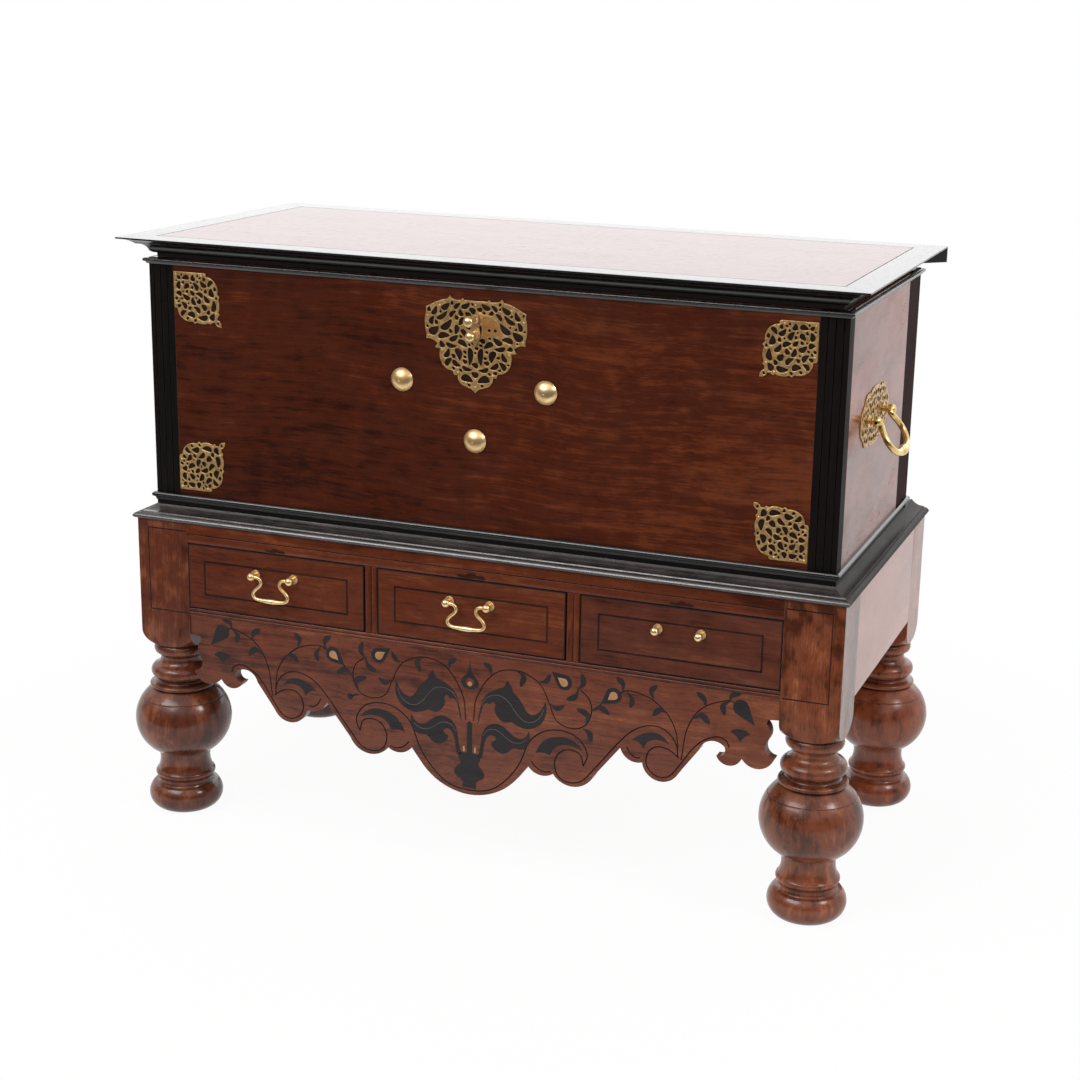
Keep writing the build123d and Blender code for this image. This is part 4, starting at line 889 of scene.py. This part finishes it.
def sawn_holes(edge, marks, keep_off, strap, most, room):
    """Holes grown at their marks, then in the bare places, until only straps of metal are left."""
    still = [p for loop in [edge] + keep_off for p in close_points(loop)]
    sizes = [FIRST_SIZE] * len(marks)

    def field():
        """Every outline's points in a tree, and the hole that each belongs to, -1 for none."""
        points = [(p, -1) for p in still]
        for owner, (mark, size) in enumerate(zip(marks, sizes)):
            points += [(p, owner) for p in sawn_hole(*mark, size)]
        tree = kdtree.KDTree(len(points))
        for index, (p, owner) in enumerate(points):
            tree.insert((p[0], p[1], 0.0), index)
        tree.balance()
        return tree, [owner for p, owner in points]

    def spread(growing, largest):
        """Let holes grow until each comes near another outline or is large enough."""
        while growing:
            tree, owners = field()
            for owner in list(growing):
                size = sizes[owner] + HOLE_STEP
                near = any(owners[found[1]] != owner for p in sawn_hole(*marks[owner], size)
                           for found in tree.find_range((p[0], p[1], 0.0), strap))
                if near or size > largest:
                    growing.remove(owner)
                else:
                    sizes[owner] = size

    spread(list(range(len(marks))), most)
    low = [min(p[axis] for p in edge) for axis in (0, 1)]
    high = [max(p[axis] for p in edge) for axis in (0, 1)]
    while True:
        tree = field()[0]
        best, spot = strap + room, None
        closed = keep_off + [sawn_hole(*mark, size) for mark, size in zip(marks, sizes)]
        for i in range(int((high[0] - low[0]) / SEARCH_STEP)):
            for j in range(int((high[1] - low[1]) / SEARCH_STEP)):
                x, y = low[0] + SEARCH_STEP * i, low[1] + SEARCH_STEP * j
                gap = tree.find((x, y, 0.0))[2]
                if gap > best and within(edge, x, y) and not any(within(loop, x, y) for loop in closed):
                    best, spot = gap, (x, y)
        if spot is None:
            break
        turn = math.degrees(math.atan2(spot[1], spot[0])) + 70.0
        marks.append((*spot, 9.0, 6.5, turn, 0.8 if len(marks) % 2 else -0.8))
        sizes.append(FILLER_SIZE)
        spread([len(marks) - 1], FILLER_MOST)
    return [sawn_hole(*mark, size) for mark, size in zip(marks, sizes)]


# Where the pins go through each plate, in mm from the origin of its outline.
CORNER_PINS = ((4.5, 4.5), (53, 4.5), (4.5, 53), (79.5, 66), (66, 79.5))
LOCK_PINS = ((-62, -18.5), (62, -18.5), (-82.5, -36), (82.5, -36), (-82, -68), (82, -68), (-58, -90), (58, -90),
             (-30, -125), (30, -125), (0, -146), (0, -14))
HANDLE_PINS = ((-97, 0), (97, 0), (-58, 40), (58, 40), (-58, -40), (58, -40), (0, 44), (0, -44))


def around(pins):
    """The bare metal that each pin needs."""
    return [round_loop(x, y, 1.2, 8) for x, y in pins]


def corner_shape():
    """Two straight sides at the corner, two lobes on each inner side with cusps, and a small leaf at the tip."""
    half = open_line([(0, 0)], [(57.5, 0), (61, 1.5)], [(61.5, 6), (69, 7.5), (76, 12), (81, 19.5), (83, 28),
                     (82.5, 34)], [(86.2, 38.5)], [(83.6, 42), (85.4, 49), (85.4, 57), (83.2, 64)], [(84.8, 68.5)],
                     [(81.8, 72), (81.8, 76.5), (85.5, 79), (88.6, 83)], [(89, 89)])
    loop = half + [Vector((p[1], p[0])) for p in reversed(half[1:-1])]
    marks = [(9.5, 9.5, 8, 6, 45, 0), (24, 24, 9, 6, -45, 0), (34.5, 34.5, 8, 5, 45, 0), (57, 57, 9, 7, 45, 0)]
    for x, y, length, width, turn, bend in (
            (22.5, 9.5, 10, 6, -10, 1), (36.5, 9.5, 8, 6, 75, -1), (49.5, 9, 9, 5, -30, 1), (42, 23, 11, 6, 60, 1.4),
            (55.5, 19, 11, 6, 40, -1.4), (68.5, 17, 12, 6.5, -50, 1.6), (71, 32, 11, 7, 80, -1.4),
            (48.5, 36.5, 12, 6.5, 20, 1.4), (61.5, 43.5, 13, 6.5, 50, -1.6), (75, 54, 14, 6.5, 96, 1.4)):
        marks += [(x, y, length, width, turn, bend), (y, x, length, width, 90 - turn, -bend)]
    return [loop] + sawn_holes(loop, marks, around(CORNER_PINS), strap=1.6, most=1.45, room=2.1)


def lock_plate_shape():
    """A heart of three pairs of lobes with cusps, sawn into scrolls, plain beside the keyhole on one side."""
    half = open_line([(0, -8), (12, -7.5), (20, -7.5)], [(22.6, -4.6)], [(26, -8), (34, -8), (41, -6.5)],
                     [(44.7, -2)], [(49, -7.5), (60, -10), (72, -15), (81, -20)], [(86.5, -22)],
                     [(86, -29), (88.3, -43), (87.6, -57), (85.2, -66)], [(85.8, -73.5)],
                     [(78, -73.5), (71, -76.5), (66, -80.5)], [(70.5, -87)],
                     [(61.5, -88.5), (62.4, -97), (60.5, -107), (55, -116), (47, -121.2), (39.5, -122.6)],
                     [(36.5, -129.5)], [(31, -129), (29.3, -137), (24, -143.5), (15.5, -147)],
                     [(9, -149), (4, -152), (0, -156)])
    loop, marks = both_sides(half), []
    for x, y, length, width, turn, bend in (
            (52, -20, 12, 6.5, -35, 1), (32, -17.5, 11, 5.5, -42, -1), (17, -16.5, 10, 5, -28, 1),
            (71, -28, 13, 6.5, -62, 1.4), (40, -30.5, 12, 5.5, -45, -1.4), (57.5, -35, 16, 5.5, -36, 1.6),
            (50, -49.5, 15, 6.5, -42, 1.6), (76, -43.5, 12, 6.5, -70, -1.4), (72, -59.5, 12, 7.5, -30, 1.2),
            (55, -67, 13, 6, -8, -1.2), (37.5, -70, 12, 6, -32, 1), (42, -82, 14, 5.5, 8, 1.4),
            (22, -77.5, 11, 5.5, 30, -1), (49, -95, 12, 6, -62, 1.4), (47, -108.5, 13, 7, -48, -1.4),
            (33, -111, 14, 7, 30, 1.2), (29, -95, 12, 6.5, 72, -1.4), (9, -97.5, 17, 5.6, 90, -1),
            (14.5, -118, 15, 6, 12, 1.6), (14, -134, 13, 7, 16, -1.4)):
        marks += [(x, y, length, width, turn, bend), (-x, y, length, width, 180 - turn, -bend)]
    marks += [(-33, -56, 11, 6, 80, 1), (-24, -42, 11, 6, 50, -1), (-20, -61, 10, 5, 120, 1)]
    key = [Vector((3.5 * math.cos(a), -49.5 + 3.5 * math.sin(a)))
           for a in (math.radians(-50 + 28 * i) for i in range(11))] + [Vector((-2.2, -62)), Vector((2.2, -62))]
    beside = sawn_hole(8.6, -54, 15, 4.2, 88, 0)
    fixed = [round_loop(23.5, -53, 2.7, 12), round_loop(34, -53, 2.7, 12)]
    keep_off = [key, beside, lock_patch_loop(), round_loop(0, -37, 6)] + around(LOCK_PINS)
    return [loop, key, beside] + fixed + sawn_holes(loop, marks, keep_off, strap=1.6, most=1.75, room=2.4)


def lock_patch_loop():
    """The plain patch beside the keyhole."""
    return smooth([(12.5, -31), (18, -31), (29, -34.5), (38.5, -43), (42.5, -55), (41, -61)], 4) \
        + [Vector((30, -61)), Vector((12.5, -64))]


def handle_plate_shape():
    """A long plate lobed at its ends, above and below, the same in all four quarters."""
    quarter = open_line([(0, 48), (14, 47.5), (28, 45), (39, 40)], [(45.5, 44.5)],
                        [(50, 42), (60, 43), (70, 38), (77, 28)], [(84.5, 27.5)],
                        [(86, 24), (94, 20), (99.5, 11), (101, 0)])
    loop = quarter + [Vector((p[0], -p[1])) for p in reversed(quarter[:-1])]
    loop += [Vector((-p[0], -p[1])) for p in quarter[1:]]
    loop += mirrored_loop(quarter[1:-1])
    marks = [(0, 36, 12, 6.5, 0, 0), (0, -36, 12, 6.5, 180, 0)]
    for x, y, length, width, turn, bend in (
            (16, 37, 11, 6, -12, 1), (31, 33, 11, 6, -24, -1), (8, 22.5, 11, 5.5, 60, 1.2), (22.5, 22, 12, 6, -35, 1.4),
            (37, 19, 11, 5.5, 60, -1.2), (13.5, 8.5, 11, 6, 20, -1), (29, 8, 11, 6, -60, 1),
            (54, 33, 13, 6.5, -12, 1.4), (68, 29, 11, 6.5, -48, -1.2), (52, 17, 8, 5, 25, 1),
            (64, 15, 11, 6, -28, 1.2), (76, 15, 10, 6, -55, 1),
            (88, 12.5, 11, 6.5, -52, -1.2), (76, 4.5, 8, 5.5, 80, 0.8)):
        for sx, sy in ((1, 1), (-1, 1), (1, -1), (-1, -1)):
            marks.append((sx * x, sy * y, length, width, sy * turn if sx > 0 else 180 - sy * turn, sx * sy * bend))
    keep_off = [round_loop(-54, 0, 9), round_loop(54, 0, 9)] + around(HANDLE_PINS)
    return [loop] + sawn_holes(loop, marks, keep_off, strap=1.7, most=1.5, room=2.1)


def painted_shade_sheet(shape, middle, share, place):
    """A dark sheet of painted shade under a sawn plate, seen through its holes."""
    loop = [Vector((middle[0] + (p[0] - middle[0]) * share, middle[1] + (p[1] - middle[1]) * share)) for p in shape[0]]
    return cut_sheet("plate_shade", [[loop]], -0.2, 0.12, place)


def pin_heads(name, places, facing, body):
    """Domed brass pins, one tree for them all."""
    points = bpy.data.meshes.new(name + "_places")
    points.from_pydata(places, [], [])
    mesh = grown(name, points, STUD_TREE, {"Radius": 1.7 * MM, "Rise": 0.55, "Facing": facing,
                                           "Material": CAST_BRASS})
    placed(name, mesh, CAST_BRASS, body, True)


def turned(name, profile, place, segments=28):
    """A turned knob from its profile of radius and height, closed at both ends."""
    bm = bmesh.new()
    rings = []
    for radius, height in profile:
        count = 1 if radius == 0 else segments
        rings.append([bm.verts.new((radius * MM * math.cos(math.tau * i / segments),
                                    radius * MM * math.sin(math.tau * i / segments), height * MM))
                      for i in range(count)])
    for low, high in zip(rings, rings[1:]):
        for i in range(segments):
            j = (i + 1) % segments
            corners = [low[i % len(low)], low[j % len(low)], high[j % len(high)], high[i % len(high)]]
            bm.faces.new(list(dict.fromkeys(corners)))
    bmesh.ops.recalc_face_normals(bm, faces=bm.faces)
    bmesh.ops.transform(bm, matrix=place, verts=bm.verts)
    mesh = bpy.data.meshes.new(name)
    bm.to_mesh(mesh)
    bm.free()
    return mesh


def sawn_plate(name, shape, place):
    """A plate with its holes and a chamfer along every edge of its face."""
    return cut_sheet(name, [shape], 0, PLATE, place, PLATE_BEVEL)


def pin_places(pins, place):
    """Where pins stand on a plate's face."""
    return [place @ Vector((u * MM, v * MM, PLATE * MM)) for u, v in pins]


def sawn_plates():
    """The corner, lock and handle plates, each with a dark sheet of painted shade under it and pins through it."""
    low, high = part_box("corner_plates")
    face = high[1]
    shape, meshes, plate_shade, pins = corner_shape(), [], [], []
    for sx, x in ((-1, low[0]), (1, high[0])):
        for sz, z in ((-1, high[2]), (1, low[2])):
            place = Matrix.Translation((x, face, z)) @ UPRIGHT @ Matrix.Diagonal((-sx, sz, 1, 1))
            meshes.append(sawn_plate("corner", shape, place))
            plate_shade.append(painted_shade_sheet(shape, (40, 40), 0.95, place))
            pins += pin_places(CORNER_PINS, place)
    plates = placed("scrolled_corner_plates", joined("scrolled_corner_plates", meshes), SAWN_BRASS,
                    "root")
    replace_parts(plates, "corner_plates")

    low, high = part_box("escutcheon")
    place = Matrix.Translation(((low[0] + high[0]) / 2, high[1], LOCK_ORIGIN_Z * MM)) @ UPRIGHT
    shape = lock_plate_shape()
    lock = placed("scrolled_lock_plate", sawn_plate("scrolled_lock_plate", shape, place), SAWN_BRASS,
                  "root")
    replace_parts(lock, "escutcheon")
    plate_shade.append(painted_shade_sheet([shape[0]], (0, -66), 0.955, place))
    placed("front_plate_wax", joined("front_plate_wax", plate_shade), PAINTED_PLATE_SHADE, "root")
    patch = [lock_patch_loop(), round_loop(23.5, -53, 3.4, 12), round_loop(34, -53, 3.4, 12)]
    placed("plain_lock_patch", cut_sheet("plain_lock_patch", [patch], 0.6, 1.72, place), PLAIN_BRASS,
           "root")
    pins += pin_places(LOCK_PINS, place)
    pin_heads("front_plate_pins", pins, (0.0, -1.0, 0.0), "root")

    shape = handle_plate_shape()
    for side, sx in (("left", -1), ("right", 1)):
        low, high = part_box(f"handle_plate_{side}")
        face = low[0] if sx > 0 else high[0]
        place = Matrix(((0, 0, sx, face), (1, 0, 0, (low[1] + high[1]) / 2), (0, 1, 0, (low[2] + high[2]) / 2),
                        (0, 0, 0, 1)))
        name = f"scrolled_handle_plate_{side}"
        plate = placed(name, sawn_plate(name, shape, place), SAWN_BRASS, "root")
        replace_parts(plate, f"handle_plate_{side}")
        placed(f"handle_plate_painted_shade_{side}", painted_shade_sheet(shape, (0, 0), 0.965, place), PAINTED_PLATE_SHADE, "root")
        pin_heads(f"handle_plate_pins_{side}", pin_places(HANDLE_PINS, place), (float(sx), 0.0, 0.0), "root")


def lock_knobs():
    """Round knobs over the plain ones of the keyhole cover and its stud."""
    low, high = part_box("keyhole_cover")
    x, stud_z, face = (low[0] + high[0]) / 2, STUD_Z * MM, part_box("escutcheon")[1][1]
    place = Matrix.Translation((x, face, stud_z)) @ UPRIGHT
    placed("stud_knob", turned("stud_knob", [
        (0, 4.5), (6.8, 4.5), (6.8, 5.8), (5.0, 7.2), (3.9, 10.0), (3.8, 14.5), (5.2, 17.4), (5.4, 18.6), (4.6, 19.8),
        (6.4, 21.4), (8.3, 24.2), (9.1, 27.6), (8.9, 31.0), (7.5, 34.2), (4.8, 36.4), (2.0, 37.2), (0, 37.3)], place),
           CAST_BRASS, "root", True)
    place = Matrix.Translation((x, face, stud_z - COVER_KNOB_DROP * MM)) @ UPRIGHT
    placed("cover_knob", turned("cover_knob", [
        (0, 3.45), (6.4, 3.45), (6.4, 4.6), (4.6, 6.0), (3.7, 8.6), (4.0, 11.4), (5.2, 13.0), (4.6, 14.4),
        (6.6, 16.0), (8.3, 18.8), (8.8, 22.0), (8.2, 25.4), (6.2, 28.2), (3.2, 29.8), (0, 30.2)], place), CAST_BRASS,
        "keyhole_cover", True)


sawn_plates()
lock_knobs()


# ---------------------------------------------------------------- bails
def bail(name, node, body, path, place, values, material):
    """A cast bail with a swelling grip, in place of the plain one."""
    half = smooth(path, 8)
    line = half + mirrored_loop(half[:-1])
    points = [place @ Vector((p[0] * MM, 0.0, p[1] * MM)) for p in line]
    values = {key: value * MM if key.endswith("Radius") else value for key, value in values.items()}
    mesh = grown(name, curve_of(name, [points]), BAIL_TREE, {**values, "Material": material})
    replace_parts(placed(name, mesh, material, body, True), node)


def bails():
    """Swan-neck bails on two drawers and ring bails on the chest's sides."""
    for name in ("left", "middle"):
        low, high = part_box(f"drawer_{name}_pull_posts")
        posts_z, reach = (low[2] + high[2]) / 2, low[1] + 7.0 * MM
        place = Matrix.Translation(((low[0] + high[0]) / 2, reach, posts_z))
        bail(f"drawer_{name}_swan_bail", f"drawer_{name}_bail", f"drawer_{name}_bail",
             [(-34, 0), (-27, 0.4), (-20.5, -2), (-17.5, -8.5), (-21, -15.5), (-28, -21.5), (-32.5, -28),
              (-31.5, -34.5), (-25, -38.3), (-12, -39.4), (0, -39.5)], place,
             {"Bar Radius": 2.8, "Grip Radius": 4.3, "Grip Share": 0.085, "End Radius": 2.8}, CAST_BRASS)
    for side, sx in (("left", -1), ("right", 1)):
        low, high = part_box("handle_posts")
        reach = sx * RING_PIVOT * MM
        place = Matrix.Translation((reach, (low[1] + high[1]) / 2, (low[2] + high[2]) / 2))
        lift = Matrix.Rotation(math.radians(-RING_LIFT * sx), 4, "Y")
        place = place @ lift @ Matrix.Rotation(math.radians(90), 4, "Z")
        bail(f"side_ring_bail_{side}", f"side_bail_{side}", f"side_bail_{side}",
             [(-51, 0), (-45.5, 0), (-41.8, -3.5), (-44, -10), (-50.5, -17.5), (-56.5, -28), (-57, -40),
              (-49.5, -51.5), (-34.5, -59.5), (-16, -62.6), (0, -63)], place,
             {"Bar Radius": 5.0, "Grip Radius": 8.4, "Grip Share": 0.085, "End Radius": 5.0}, RING_BRASS)


bails()
